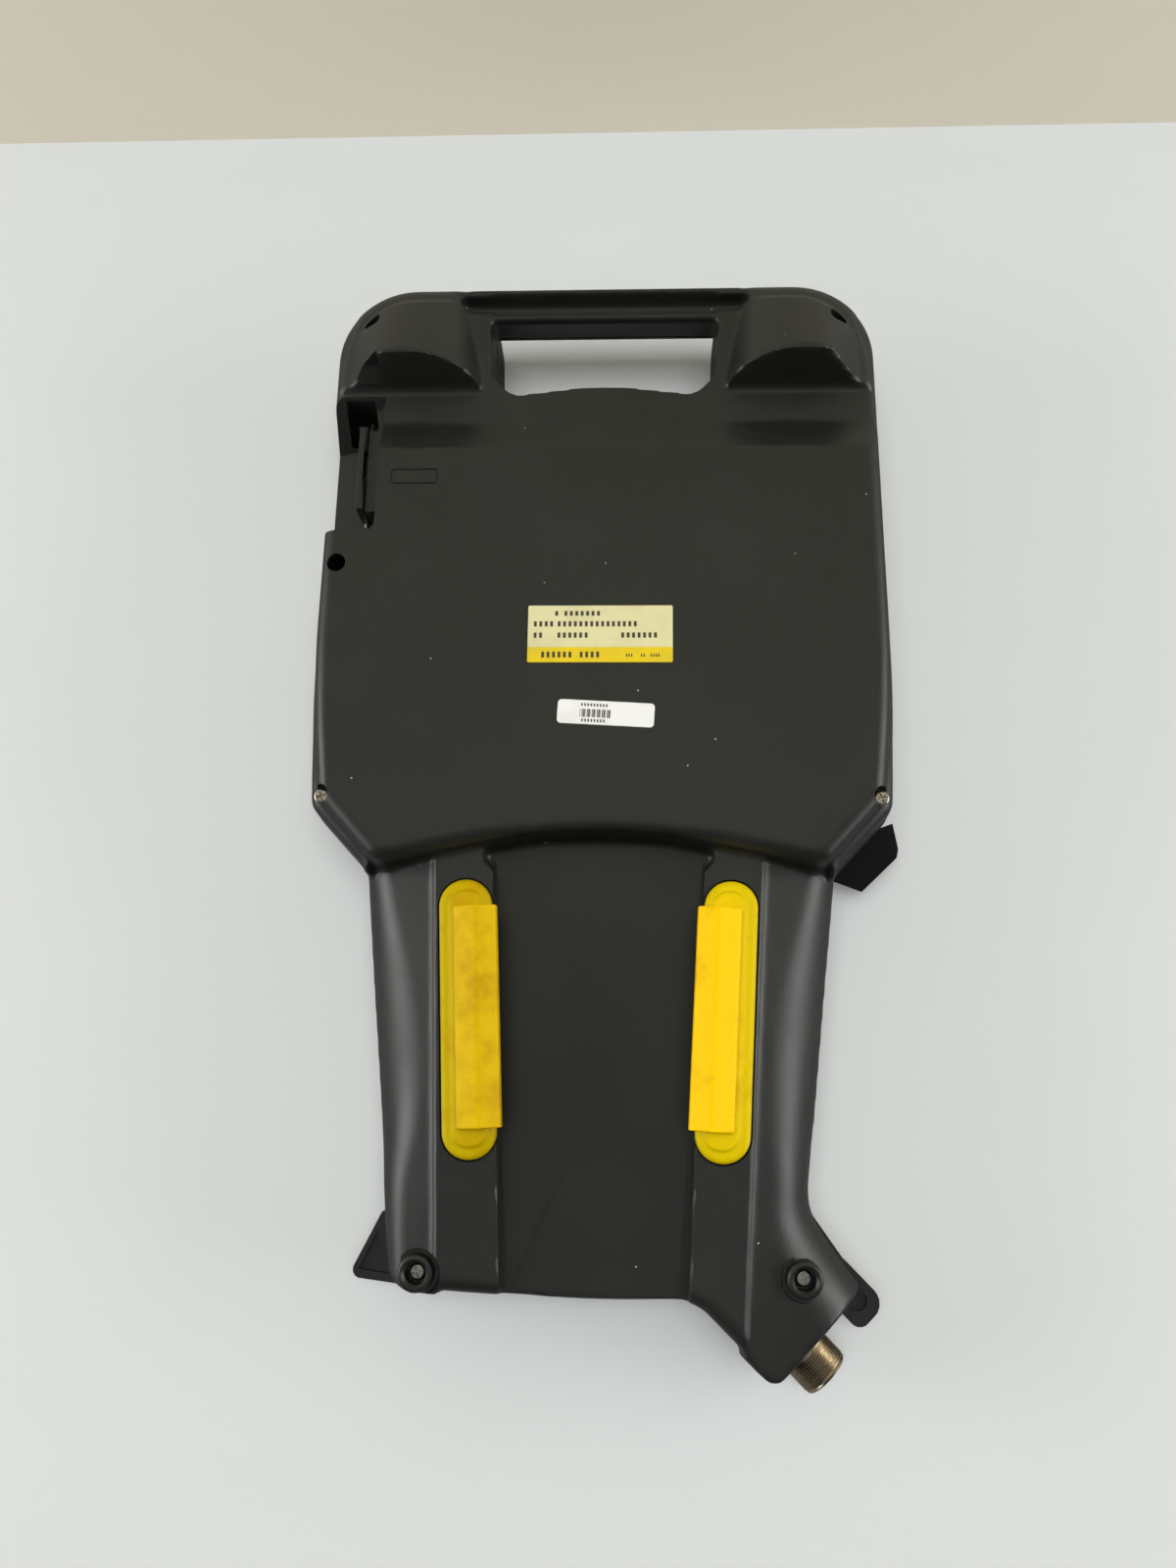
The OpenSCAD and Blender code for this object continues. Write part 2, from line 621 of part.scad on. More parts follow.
module usb_flap() color("#2c2d2a") {
    difference() {
        union() {
            block(flap_axis.x - flap_t / 2, flap_axis.x + flap_t / 2, flap_y0, flap_y1, flap_axis.y,
                flap_top);
            translate([flap_axis.x, flap_y0, flap_axis.y]) rotate([-90, 0, 0])
                cylinder(r = 1.9, h = flap_y1 - flap_y0);
        }
        translate([flap_axis.x, flap_y0 - 1, flap_axis.y]) rotate([-90, 0, 0])
            cylinder(r = flap_pin_r + fit, h = flap_y1 - flap_y0 + 2);
        block(flap_axis.x + 0.2, flap_axis.x + 9, usb_y - 8, usb_y + 8, flap_top - 3, flap_top + 1);
    }
}

module usb_flap_pin() color("#9a9a9a")
    translate([flap_axis.x, port_y0 - 1.5, flap_axis.y]) rotate([-90, 0, 0])
        cylinder(r = flap_pin_r, h = port_y1 - port_y0 + 3);

module usb_socket() color("#b8bcc0") difference() {
    block(-port_x - 1.5, -port_x + 12, usb_y - usb_w / 2, usb_y + usb_w / 2, usb_z - usb_h / 2,
        usb_z + usb_h / 2);
    difference() {
        block(-port_x - 2, -port_x + 9, usb_y - usb_w / 2 + 0.4, usb_y + usb_w / 2 - 0.4,
              usb_z - usb_h / 2 + 0.4, usb_z + usb_h / 2 - 0.4);
        block(-port_x - 0.5, -port_x + 10, usb_y - 5.5, usb_y + 5.5, usb_z + 0.2, usb_z + 1.9);
    }
}

module usb_board() color("#2f6b43") {
    block(4 - port_x, 30 - port_x, usb_y - 24, usb_y + 6, usb_z - usb_h / 2 - 1.6, usb_z - usb_h / 2);
    block(16 - port_x, 28 - port_x, usb_y - 22, usb_y - 14, board_z + board_t, usb_z - usb_h / 2 - 1.6);
}

// ---------- Display ----------

module display_window() color("#20262b", 0.6) translate([0, display_y, 0])
    slab(face_depth + 0.2, face_depth + 0.2 + window_t, rounded(rect(window_w, window_h, window_r)));

module window_seal() color("#1b1b1b") translate([0, display_y, 0]) difference() {
    slab(cavity_z, frame_z, rect_pts(frame_w - 2, frame_h - 2));
    slab(cavity_z - 1, frame_z + 1, rect_pts(window_w - 2 * window_lip + 1, window_h - 2 * window_lip + 1));
}
function rect_pts(w, h) = [for (p = rect(w, h, 0)) flat(p)];

module lcd_frame() color("#a9adb0") translate([0, display_y, 0]) difference() {
    union() {
        slab(frame_z, frame_z + frame_d, rect_pts(frame_w, frame_h));
        for (x = [-1, 1], y = [-1, 1])
            translate([x * (ear_x + frame_w / 2) / 2, y * ear_dy, frame_z + frame_d - frame_t])
            translate([-(ear_x + 4.5 - frame_w / 2) / 2, -4.5, 0])
                cube([ear_x + 4.5 - frame_w / 2 + 2.4, 9, frame_t]);
    }
    slab(frame_z - 1, frame_z + frame_d - frame_t, rect_pts(frame_w - 2 * frame_t, frame_h - 2 * frame_t));
    for (x = [-ear_x, ear_x], y = [-ear_dy, ear_dy]) translate([x, y, 0]) rod(stud_r + 0.35, 0, 40);
}

module lcd_panel() color("#39424a") translate([0, display_y, 0])
    slab(frame_z + 0.2, frame_z + 2.8, rect_pts(frame_w - 2 * frame_t - 0.4, frame_h - 2 * frame_t - 0.4));

module backlight() color("#e8e8e4") translate([0, display_y, 0])
    slab(frame_z + 3, frame_z + frame_d - frame_t - 0.2,
         rect_pts(frame_w - 2 * frame_t - 0.4, frame_h - 2 * frame_t - 0.4));

// ---------- Keypad ----------

// Half width that the keys may take up at height y
function keys_half(y) = y > waist_y ? 90 : y > grip_y ? 90 + (y - waist_y) * 0.72
    : grip_half - 20 + (y - grip_y) * (grip_half - heel_half) / (grip_y - heel_y);

module keypad_overlay() color("#4a4d52") {
    slab(face_depth - 2 * film_t, face_depth - film_t, rounded(KEYPAD));
    for (row = [0 : 10]) {
        y = -1 - row * key_pitch_y;
        columns = floor(2 * keys_half(y - key_h / 2) / key_pitch_x);
        if (y > heel_y + 18) for (i = [0 : columns - 1])
            translate([(i - (columns - 1) / 2) * key_pitch_x, y, 0])
                slab(face_depth - 2 * film_t - key_rise, face_depth - 2 * film_t,
                    rounded(rect(key_w, key_h, 1.6), 2));
    }
}

module keypad_circuit() color("#c9ccd0")
    slab(face_depth - film_t, face_depth, inset(rounded(KEYPAD), 0.5));

// ---------- Stop button ----------

module estop_head() color("#c3161c") at_stop() rotate_extrude() difference() {
    polygon([[0, rest_gap], [stop_r - 5, rest_gap], [stop_r - 1.6, rest_gap + 1], [stop_r, rest_gap + 3],
             [stop_r, stop_back - 2], [stop_r - 1.5, stop_back], [0, stop_back]]);
    translate([-1, rest_gap + 3]) square([spigot_r + fit + 1, 20]);
}

module estop_stem() color("#2a2a2a") at_stop() {
    rod(spigot_r, rest_gap + 3 + gap, stop_back + 1);
    rod(stop_stem_r, stop_back + gap, stop_contact_z - stop_travel - gap);
}

module estop_collar() color("#e3b60f") at_stop()
    tube(well_r - 1, stop_barrel_r + 0.1, stop_well_z - 0.6, stop_well_z);

module estop_body() color("#242424") at_stop() difference() {
    union() {
        rod(stop_barrel_r + 2, stop_well_z - 1.6, stop_well_z - 0.6);
        rod(stop_barrel_r, stop_well_z - 1, stop_contact_z);
    }
    rod(stop_stem_r + fit, 0, 50);
}

module estop_nut() color("#9b9b98") at_stop() difference() {
    translate([0, 0, stop_well_z + wall]) cylinder(r = 13.5, h = 4, $fn = 6);
    rod(stop_barrel_r, 0, 50);
}

module estop_contacts() color("#d8d4c4") at_stop()
    block(-11, 11, -11, 11, stop_contact_z, stop_contact_z + 17);

// ---------- Selector ----------

module selector_knob() color("#1d1d1d") at_knob() difference() {
    union() {
        rod(knob_r, 4, knob_well_z - 1.4);
        block(-2.2, 2.2, 1 - knob_r, knob_r - 1, 1, 5);
    }
    rod(knob_shaft_r, 6, 20);
}

module selector_shaft() color("#8d8d8a") at_knob() rod(knob_shaft_r, 6, 24);

module selector_plate() color("#c8cacc") at_knob()
    tube(knob_well_r - 0.5, knob_barrel_r + 0.1, knob_well_z - 0.8, knob_well_z);

module selector_body() color("#33383c") at_knob() difference() {
    union() {
        rod(knob_barrel_r, knob_well_z - 0.9, 24);
        block(-10, 10, -10, 10, 24, 42);
    }
    rod(knob_shaft_r + fit, 0, 24 + gap);
}

module selector_nut() color("#9b9b98") at_knob() difference() {
    translate([0, 0, knob_well_z + wall]) cylinder(r = 9.5, h = 3, $fn = 6);
    rod(knob_barrel_r, 0, 50);
}

module selector_switch() color("#d8d4c4") at_knob() block(-9, 9, -9, 9, 42, 52);

// ---------- Enabling levers ----------

module enable_lever(side) color("#e6cf00") at_lever(side) {
    difference() {
        union() {
            translate([hinge_u, 0, hinge_z]) rotate([90, 0, 0])
                cylinder(r = barrel_r, h = 2 * arm_half, center = true);
            block(hinge_u, stem_u1, -arm_half, arm_half, hinge_z - 1.5, hinge_z + 1.5);
            block(stem_u0, stem_u1, -stem_half, stem_half, hinge_z, bar_bottom + 1);
            along_y(-bar_len / 2, bar_len / 2)
                polygon([[bar_u0, bar_bottom], [bar_u0, bar_top - 3.4], [bar_u0 + 1.4, bar_top - 1.4],
                         [ridge_u, bar_top], [bar_u1 - 1.4, bar_top - 1.8], [bar_u1, bar_top - 3.6],
                         [bar_u1, bar_bottom + 1], [bar_u1 - 1, bar_bottom]]);
        }
        translate([hinge_u, 0, hinge_z]) rotate([90, 0, 0])
            cylinder(r = hinge_r + fit, h = 2 * arm_half + 1, center = true);
    }
}

module lever_boot(side) color("#d8c400") at_lever(side) difference() {
    slab(rail_z, rail_z + boot_t, rounded(rect(boot_w, boot_len, boot_w / 2 - 0.01), 10));
    slab(rail_z - 1, rail_z + boot_t + 1, rounded([
        [stem_u0 - slot_gap, stem_half + slot_gap + 0.4, 1],
        [stem_u1 + slot_gap + 0.4, stem_half + slot_gap + 0.4, 1],
        [stem_u1 + slot_gap + 0.4, -stem_half - slot_gap - 0.4, 1],
        [stem_u0 - slot_gap, -stem_half - slot_gap - 0.4, 1]], 3));
}

module lever_pin(side) color("#a3a3a0") at_lever(side)
    translate([hinge_u, 0, hinge_z]) rotate([90, 0, 0])
        cylinder(r = hinge_r, h = 2 * (arm_half + gap + ear_t), center = true);

// Two coil springs lift each lever
module lever_spring(side) color("#b5b5b0") at_lever(side) for (end = [-1, 1])
    translate([spring_u, end * spring_v, 0])
        coil(3, 0.45, bracket_z + sheet_t + 0.5, hinge_z - 1.5 - gap - 0.5, 5);

// Round wire wound between two heights
module coil(r, wire, z0, z1, turns) {
    steps = 10 * turns;
    sides = 5;
    ring = [for (i = [0 : steps]) let (a = 360 * turns * i / steps, z = z0 + (z1 - z0) * i / steps)
        [for (j = [0 : sides - 1]) let (b = 360 * j / sides)
            [(r + wire * cos(b)) * cos(a), (r + wire * cos(b)) * sin(a), z + wire * sin(b)]]];
    polyhedron(
        points = [for (section = ring) each section],
        faces = [[for (j = [0 : sides - 1]) j],
                 for (i = [0 : steps - 1]) for (j = [0 : sides - 1])
                     [i * sides + j, (i + 1) * sides + j, (i + 1) * sides + (j + 1) % sides,
                         i * sides + (j + 1) % sides],
                 [for (j = [sides - 1 : -1 : 0]) steps * sides + j]]);
}

module enable_switch(side) color("#2f4f9c") at_lever(side) difference() {
    block(switch_u - 8, switch_u + 7, -switch_half, switch_half, switch_z0, switch_z1);
    translate([plunger_u, 0, 0]) rod(plunger_r + fit, switch_z1 - 6, 60);
}

module switch_plunger(side) color("#dcdcd8") at_lever(side)
    translate([plunger_u, 0, 0]) rod(plunger_r, switch_z1 - 6 + plunger_travel + gap, hinge_z - 1.5 - gap);

module switch_bracket(side) color("#b4b6b5") at_lever(side) difference() {
    union() {
        block(-9, 8, -bracket_half, bracket_half, bracket_z, bracket_z + sheet_t);
        for (end = [-1, 1]) scale([1, end, 1]) {
            block(-9, 8, bracket_half - 8.2, bracket_half - 8.2 + sheet_t, bracket_pad_z, bracket_z + 1);
            block(-9, 8, bracket_half - 8.2, bracket_half, bracket_pad_z, bracket_pad_z + sheet_t);
        }
    }
    for (end = [-1, 1], u = [-6, 6]) translate([u, end * (bracket_half - 4), 0])
        rod(stud_r + 0.2, 0, bracket_pad_z + 3);
}

module bracket_screws() color("#b9b3a6") for (side = [0, 1], end = [-1, 1], u = [-6, 6]) at_lever(side)
    translate([u, end * (bracket_half - 4), 0]) {
        rod(stud_r + 0.9, bracket_pad_z + sheet_t, bracket_pad_z + sheet_t + 1.6);
        rod(stud_r, face_depth + 2, bracket_pad_z + sheet_t + 1);
    }

// ---------- Boards ----------

module main_board() color("#2f6b43") translate([0, display_y, 0]) difference() {
    slab(board_z, board_z + board_t, rect_pts(2 * ear_x + 10, 2 * ear_dy + 12));
    for (x = [-ear_x, ear_x], y = [-ear_dy, ear_dy]) translate([x, y, 0]) rod(stud_r + 0.35, 0, 40);
}

module board_spacers() color("#c9b46a") translate([0, display_y, 0])
    for (x = [-ear_x, ear_x], y = [-ear_dy, ear_dy]) translate([x, y, 0]) difference() {
        union() {
            translate([0, 0, frame_z + frame_d])
                cylinder(r = spacer_r, h = board_z - frame_z - frame_d, $fn = 6);
            rod(stud_r, cavity_z + 1, frame_z + frame_d + 1);
        }
        rod(stud_r, board_z - 4, board_z + 1);
    }

module board_screws() color("#b9b3a6") translate([0, display_y, 0])
    for (x = [-ear_x, ear_x], y = [-ear_dy, ear_dy]) translate([x, y, 0]) {
        rod(stud_r + 1.2, board_z + board_t, board_z + board_t + 1.8);
        rod(stud_r, board_z - 3.5, board_z + board_t + 1);
    }

module heat_spreader() color("#8f9396") translate([-24, display_y + 8, board_z + board_t]) {
    block(-22, 22, -22, 22, 0, 3);
    for (i = [-4 : 4]) block(i * 5 - 0.8, i * 5 + 0.8, -22, 22, 2, 9);
}

module backlight_inverter() color("#b7a13c") translate([44, display_y + 30, board_z + board_t]) {
    block(-34, 34, -9, 9, 0, 1.6);
    block(-26, -8, -7, 7, 1, 10);
    block(4, 14, -5, 5, 1, 7);
    block(20, 32, -7, 7, 1, 6);
}

module board_connectors() color("#e9e6da") for (i = [0 : 4])
    translate([-60 + 30 * i, display_y - ear_dy, board_z + board_t]) block(-10, 10, -3.5, 3.5, 0, 7);

module buzzer() color("#1a1a1a") translate([52, display_y - 10, board_z + board_t]) tube(7, 1, 0, 6);

// ---------- Cable outlet ----------

module connector_shell() color("#a59b86") at_connector() {
    difference() {
        union() {
            slab(gasket_t, gasket_t + flange_t, rounded(rect(flange_w, flange_w, 1.5), 3));
            rod(conn_r - 0.2, -14, gasket_t + 1);
            rod(conn_r, gasket_t + 1, gasket_t + flange_t + conn_len);
        }
        rod(plug_bore_r, gasket_t + flange_t + 3, 40);
        rod(plug_bore_r - 1.5, -15, 40);
        for (x = [-conn_screw, conn_screw], y = [-conn_screw, conn_screw]) translate([x, y, 0])
            rod(stud_r + 0.2, -3, 9);
    }
}

module connector_insert() color("#222222") at_connector() difference() {
    rod(plug_bore_r - 1.5, -12, gasket_t + flange_t + 4);
    for (a = [0 : 45 : 315]) rotate(a) translate([4, 0, 0]) rod(0.6, -30, 30);
    for (a = [0 : 90 : 270]) rotate(a + 20) translate([1.8, 0, 0]) rod(0.6, -30, 30);
}

module connector_pins() color("#cfa94e") at_connector() {
    for (a = [0 : 45 : 315]) rotate(a) translate([4, 0, 0]) rod(0.6, -14.5, gasket_t + flange_t + 10);
    for (a = [0 : 90 : 270]) rotate(a + 20) translate([1.8, 0, 0]) rod(0.6, -14.5, gasket_t + flange_t + 10);
}

module connector_gasket() color("#1b1b1b") at_connector() difference() {
    slab(0, gasket_t, rounded(rect(flange_w, flange_w, 1.5), 3));
    rod(conn_r, -1, 5);
    for (x = [-conn_screw, conn_screw], y = [-conn_screw, conn_screw]) translate([x, y, 0])
        rod(stud_r + 0.2, -3, 9);
}

module connector_screws() color("#b9b3a6") at_connector()
    for (x = [-conn_screw, conn_screw], y = [-conn_screw, conn_screw]) translate([x, y, 0]) {
        rod(stud_r + 0.9, gasket_t + flange_t, gasket_t + flange_t + 1.4);
        rod(stud_r, -2.4, gasket_t + flange_t + 1);
    }

// ---------- Hand strap ----------

// Cut end of the webbing that hangs out of its slot under the waist
module hand_strap() color("#0d0d0e") difference() {
    union() {
        slab(strap_z, strap_z + strap_t, strap_foot(0, 1, 14.5, 14.5));
        slab(strap_z, strap_z + strap_t, STRAP_END);
    }
    for (t = strap_rivets_t) translate(at45(strap_s - 4, strap_mid + t)) rod(stud_r, 0, 60);
}

module strap_rivets() color("#8a8a88") for (t = strap_rivets_t) translate(at45(strap_s - 4, strap_mid + t))
    rod(stud_r, 9, parting_z - 2);

rear_cover();
front_cover();
case_seal();
case_screws();
thread_inserts();
name_plate();
asset_sticker();
usb_flap();
usb_flap_pin();
usb_socket();
usb_board();
display_window();
window_seal();
lcd_frame();
lcd_panel();
backlight();
keypad_overlay();
keypad_circuit();
estop_head();
estop_stem();
estop_collar();
estop_body();
estop_nut();
estop_contacts();
selector_knob();
selector_shaft();
selector_plate();
selector_body();
selector_nut();
selector_switch();
enable_lever(0);  // enable_lever_left
enable_lever(1);  // enable_lever_right
lever_boot(0);  // lever_boot_left
lever_boot(1);  // lever_boot_right
lever_pin(0);  // lever_pin_left
lever_pin(1);  // lever_pin_right
lever_spring(0);  // lever_spring_left
lever_spring(1);  // lever_spring_right
enable_switch(0);  // enable_switch_left
enable_switch(1);  // enable_switch_right
switch_plunger(0);  // switch_plunger_left
switch_plunger(1);  // switch_plunger_right
switch_bracket(0);  // switch_bracket_left
switch_bracket(1);  // switch_bracket_right
bracket_screws();
main_board();
board_spacers();
board_screws();
heat_spreader();
backlight_inverter();
board_connectors();
buzzer();
connector_shell();
connector_insert();
connector_pins();
connector_gasket();
connector_screws();
hand_strap();
strap_rivets();
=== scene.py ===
import math

import bmesh
import bpy
from mathutils import Matrix, Vector


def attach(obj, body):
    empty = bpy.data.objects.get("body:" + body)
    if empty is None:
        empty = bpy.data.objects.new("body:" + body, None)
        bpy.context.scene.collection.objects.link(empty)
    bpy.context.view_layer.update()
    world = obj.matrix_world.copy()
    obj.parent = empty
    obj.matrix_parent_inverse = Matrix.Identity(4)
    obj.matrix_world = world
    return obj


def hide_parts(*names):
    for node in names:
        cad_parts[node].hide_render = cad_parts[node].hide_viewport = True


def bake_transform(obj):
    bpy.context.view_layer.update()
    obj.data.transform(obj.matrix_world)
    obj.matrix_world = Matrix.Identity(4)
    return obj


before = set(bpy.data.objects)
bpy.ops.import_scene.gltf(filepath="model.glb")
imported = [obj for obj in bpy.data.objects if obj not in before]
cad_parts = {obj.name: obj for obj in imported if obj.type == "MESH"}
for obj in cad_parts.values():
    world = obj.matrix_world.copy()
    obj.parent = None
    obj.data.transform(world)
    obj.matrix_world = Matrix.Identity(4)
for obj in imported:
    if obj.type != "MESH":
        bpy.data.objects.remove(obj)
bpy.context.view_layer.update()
scene = bpy.context.scene
scene.view_settings.view_transform = "Standard"
MM = 0.001

# ---------------------------------------------------------------- Table, light and camera
# The pendant lies on its front rim on a plain pale table, in front of a warm off-white wall.
# Three soft lamps stand to the left, to the right and beyond the handle; a fourth, which no reflection shows,
# hangs above, so that flat faces stay quiet and every rolled edge picks up a streak.


def colour(code):
    """Linear colour of an sRGB hex value."""
    parts = [int(code[i : i + 2], 16) / 255 for i in (1, 3, 5)]
    return [p / 12.92 if p <= 0.04045 else ((p + 0.055) / 1.055) ** 2.4 for p in parts] + [1.0]


def add(tree, kind, links=None, values=None, **settings):
    """A node with its settings, the values of its sockets and the sockets that feed it."""
    node = tree.nodes.new(kind)
    for name, value in settings.items():
        setattr(node, name, value)
    for name, value in (values or {}).items():
        node.inputs[name].default_value = value
    for name, source in (links or {}).items():
        tree.links.new(source, node.inputs[name])
    return node


def plain_surface(name, code, glow, mirrored):
    """Matt surface, lightened a little for the camera, that reflections see at the share mirrored."""
    made = bpy.data.materials.new(name)
    made.use_nodes = True
    tree = made.node_tree
    tree.nodes.clear()
    ray = add(tree, "ShaderNodeLightPath")
    dim = add(tree, "ShaderNodeMapRange", {"Value": ray.outputs["Is Glossy Ray"]},
              {"To Min": 1.0, "To Max": mirrored})
    tone = add(tree, "ShaderNodeVectorMath", {"Scale": dim.outputs[0]}, {0: colour(code)[:3]}, operation="SCALE")
    matt = add(tree, "ShaderNodeBsdfDiffuse", {"Color": tone.outputs[0]})
    light = add(tree, "ShaderNodeEmission", {"Strength": ray.outputs["Is Camera Ray"]},
                {"Color": [c * glow for c in colour(code)[:3]] + [1.0]})
    both = add(tree, "ShaderNodeAddShader", {0: matt.outputs[0], 1: light.outputs[0]})
    add(tree, "ShaderNodeOutputMaterial", {"Surface": both.outputs[0]})
    return made


def sheet_of(name, size, place, made):
    """Flat square of the stage."""
    bm = bmesh.new()
    bmesh.ops.create_grid(bm, x_segments=1, y_segments=1, size=size, matrix=place)
    mesh = bpy.data.meshes.new(name)
    bm.to_mesh(mesh)
    bm.free()
    mesh.materials.append(made)
    found = bpy.data.objects.new(name, mesh)
    scene.collection.objects.link(found)


WALL_Y = 334 * MM
STAGE = 3
sheet_of("table_top", STAGE, Matrix.Translation((0, WALL_Y - STAGE, -0.0002)),
         plain_surface("pale_table", "#C9CCCB", 0.08, 0.4))
sheet_of("back_wall", STAGE, Matrix.Translation((0, WALL_Y, STAGE - 0.001)) @ Matrix.Rotation(math.pi / 2, 4, "X"),
         plain_surface("warm_wall", "#D6CFBE", 0.2, 1.2))

# the room behind the reader of the pendant is dark, the side beyond the handle is lit
world = bpy.data.worlds.new("room")
world.use_nodes = True
room = world.node_tree
way = add(room, "ShaderNodeSeparateXYZ", {"Vector": add(room, "ShaderNodeTexCoord").outputs["Generated"]})
toward = add(room, "ShaderNodeMapRange", {"Value": way.outputs["Y"]},
             {"From Min": -0.55, "From Max": 0.6, "To Min": 0.02, "To Max": 0.26}, interpolation_type="SMOOTHSTEP")
above = add(room, "ShaderNodeMapRange", {"Value": way.outputs["Z"]},
            {"From Min": 0.72, "From Max": 0.97, "To Max": 0.32}, interpolation_type="SMOOTHSTEP")
both = add(room, "ShaderNodeMath", {0: toward.outputs[0], 1: above.outputs[0]})
room.links.new(both.outputs[0], room.nodes["Background"].inputs["Strength"])
room.nodes["Background"].inputs["Color"].default_value = (0.92, 0.96, 1.0, 1.0)
scene.world = world

for name, place, aim, size, power in (
    ("left_lamp", (-1.3, 0.05, 0.45), (0, 0.02, 0.04), (1.1, 0.5), 13),
    ("right_lamp", (1.3, 0.05, 0.45), (0, 0.02, 0.04), (1.1, 0.5), 13),
    ("far_lamp", (0.0, 1.15, 1.25), (0, 0.1, 0.04), (1.6, 0.6), 16),
    ("ceiling", (0.0, 0.25, 1.9), (0, 0, 0), (1.2, 1.2), 40),
):
    lamp = bpy.data.lights.new(name, "AREA")
    lamp.shape = "RECTANGLE"
    lamp.size, lamp.size_y = size
    lamp.energy = power
    shown = bpy.data.objects.new(name, lamp)
    shown.location = place
    shown.rotation_euler = (Vector(aim) - Vector(place)).to_track_quat("-Z", "Y").to_euler()
    shown.visible_glossy = name != "ceiling"
    scene.collection.objects.link(shown)

camera = bpy.data.cameras.new("camera")
camera.sensor_width = 36
camera.sensor_fit = "HORIZONTAL"
camera.lens = 36.09
camera.clip_start = 0.01
eye = bpy.data.objects.new("camera", camera)
eye.matrix_world = (
    Matrix.Translation((0.013348, -0.100329, 0.478849))
    @ Matrix.Rotation(math.radians(0.724), 4, "Z")
    @ Matrix.Rotation(math.radians(2.179), 4, "Y")
    @ Matrix.Rotation(math.radians(13.288), 4, "X")
)
scene.collection.objects.link(eye)
scene.camera = eye

# ---------------------------------------------------------------- Rear cover
# One injection moulding of charcoal ABS, 3 mm thick, with a fine spark-eroded texture.
# It carries the flat back, the two humps beside the handle, the grips with their finger hollows
# and the sunk trough between the enabling levers. Seven screws pull it down onto the front cover.


def material(name, code, roughness, metallic=0.0):
    """Material with one principled shader, its node tree and the shader."""
    made = bpy.data.materials.new(name)
    made.use_nodes = True
    tree = made.node_tree
    shader = tree.nodes["Principled BSDF"]
    shader.inputs["Base Color"].default_value = colour(code)
    shader.inputs["Roughness"].default_value = roughness
    shader.inputs["Metallic"].default_value = metallic
    return made, tree, shader


def moulded_abs(name, code, light_code, roughness, grain):
    """Textured ABS: a satin skin of fine pits, a little greyer where hands have rubbed it, with stray lint."""
    made, tree, shader = material(name, code, roughness)
    place = add(tree, "ShaderNodeTexCoord").outputs["Object"]
    # pits of about 0.5 mm, drawn coarser than the real 0.1 mm so that they show
    pits = add(tree, "ShaderNodeTexNoise", {"Vector": place},
               {"Scale": 1 / (grain * MM), "Detail": 3.0, "Roughness": 0.65})
    bump = add(tree, "ShaderNodeBump", {"Height": pits.outputs["Fac"]}, {"Strength": 0.35, "Distance": 0.00012})
    tree.links.new(bump.outputs[0], shader.inputs["Normal"])
    # hands rub patches about 60 mm across, and the tops of the pits turn greyer
    rub = add(tree, "ShaderNodeTexNoise", {"Vector": place}, {"Scale": 16.0, "Detail": 4.0, "Roughness": 0.6})
    both = add(tree, "ShaderNodeMath", {0: rub.outputs["Fac"], 1: pits.outputs["Fac"]}, operation="MULTIPLY")
    spread = add(tree, "ShaderNodeMapRange", {"Value": both.outputs[0]}, {"From Min": 0.1, "From Max": 0.45})
    tone = add(tree, "ShaderNodeMix", {"Factor": spread.outputs[0]},
               {"A": colour(code), "B": colour(light_code)}, data_type="RGBA")
    # lint and scuffs: white flecks 0.3 to 0.6 mm across, a few to the square decimetre
    flecks = add(tree, "ShaderNodeTexVoronoi", {"Vector": place}, {"Scale": 70.0, "Randomness": 1.0}, feature="F1")
    rare = add(tree, "ShaderNodeMath", {0: flecks.outputs["Distance"]}, {1: 0.022}, operation="LESS_THAN")
    dusty = add(tree, "ShaderNodeMix", {"Factor": rare.outputs[0], "A": tone.outputs["Result"]},
                {"B": colour("#B9B8B0")}, data_type="RGBA")
    tree.links.new(dusty.outputs["Result"], shader.inputs["Base Color"])
    gloss = add(tree, "ShaderNodeMapRange", {"Value": rub.outputs["Fac"]},
                {"From Min": 0.3, "From Max": 0.7, "To Min": roughness - 0.05, "To Max": roughness + 0.07})
    tree.links.new(gloss.outputs[0], shader.inputs["Roughness"])
    return made


def outline(corners, z, segments=12):
    """Face through corner points (x, y, corner radius), with every corner rounded."""
    bm = bmesh.new()
    verts = [bm.verts.new((x * MM, y * MM, z * MM)) for x, y, r in corners]
    face = bm.faces.new(verts)
    face.normal_update()
    if face.normal.z < 0:
        face.normal_flip()
    for i, (x, y, r) in enumerate(corners):
        if r:
            before = Vector(corners[i - 1][:2]) - Vector((x, y))
            after = Vector(corners[(i + 1) % len(corners)][:2]) - Vector((x, y))
            reach = r / math.tan(before.angle(after) / 2) * MM
            bmesh.ops.bevel(bm, geom=[verts[i]], offset=reach, offset_type="OFFSET", affect="VERTICES",
                            segments=segments, profile=0.5, material=-1, clamp_overlap=False)
    return bm


def prism(corners, z0, z1, draft=0.0, edge=0.0, segments=12, roll=8):
    """Upright solid on an outline, drawn in by draft towards its top, with its top edge rolled."""
    bm = outline(corners, z0, segments)
    top = [f for f in bmesh.ops.duplicate(bm, geom=bm.faces[:])["geom"] if isinstance(f, bmesh.types.BMFace)]
    bmesh.ops.inset_region(bm, faces=top, thickness=draft * MM, depth=(z1 - z0) * MM,
                           use_even_offset=True, use_boundary=True)
    bmesh.ops.remove_doubles(bm, verts=bm.verts[:], dist=1e-7)
    bmesh.ops.recalc_face_normals(bm, faces=bm.faces[:])
    if edge:
        rim = [e for e in bm.edges if all(abs(v.co.z - z1 * MM) < 1e-6 for v in e.verts)]
        bmesh.ops.bevel(bm, geom=rim, offset=edge * MM, offset_type="OFFSET", affect="EDGES",
                        segments=roll, profile=0.5, material=-1, clamp_overlap=False)
    return bm


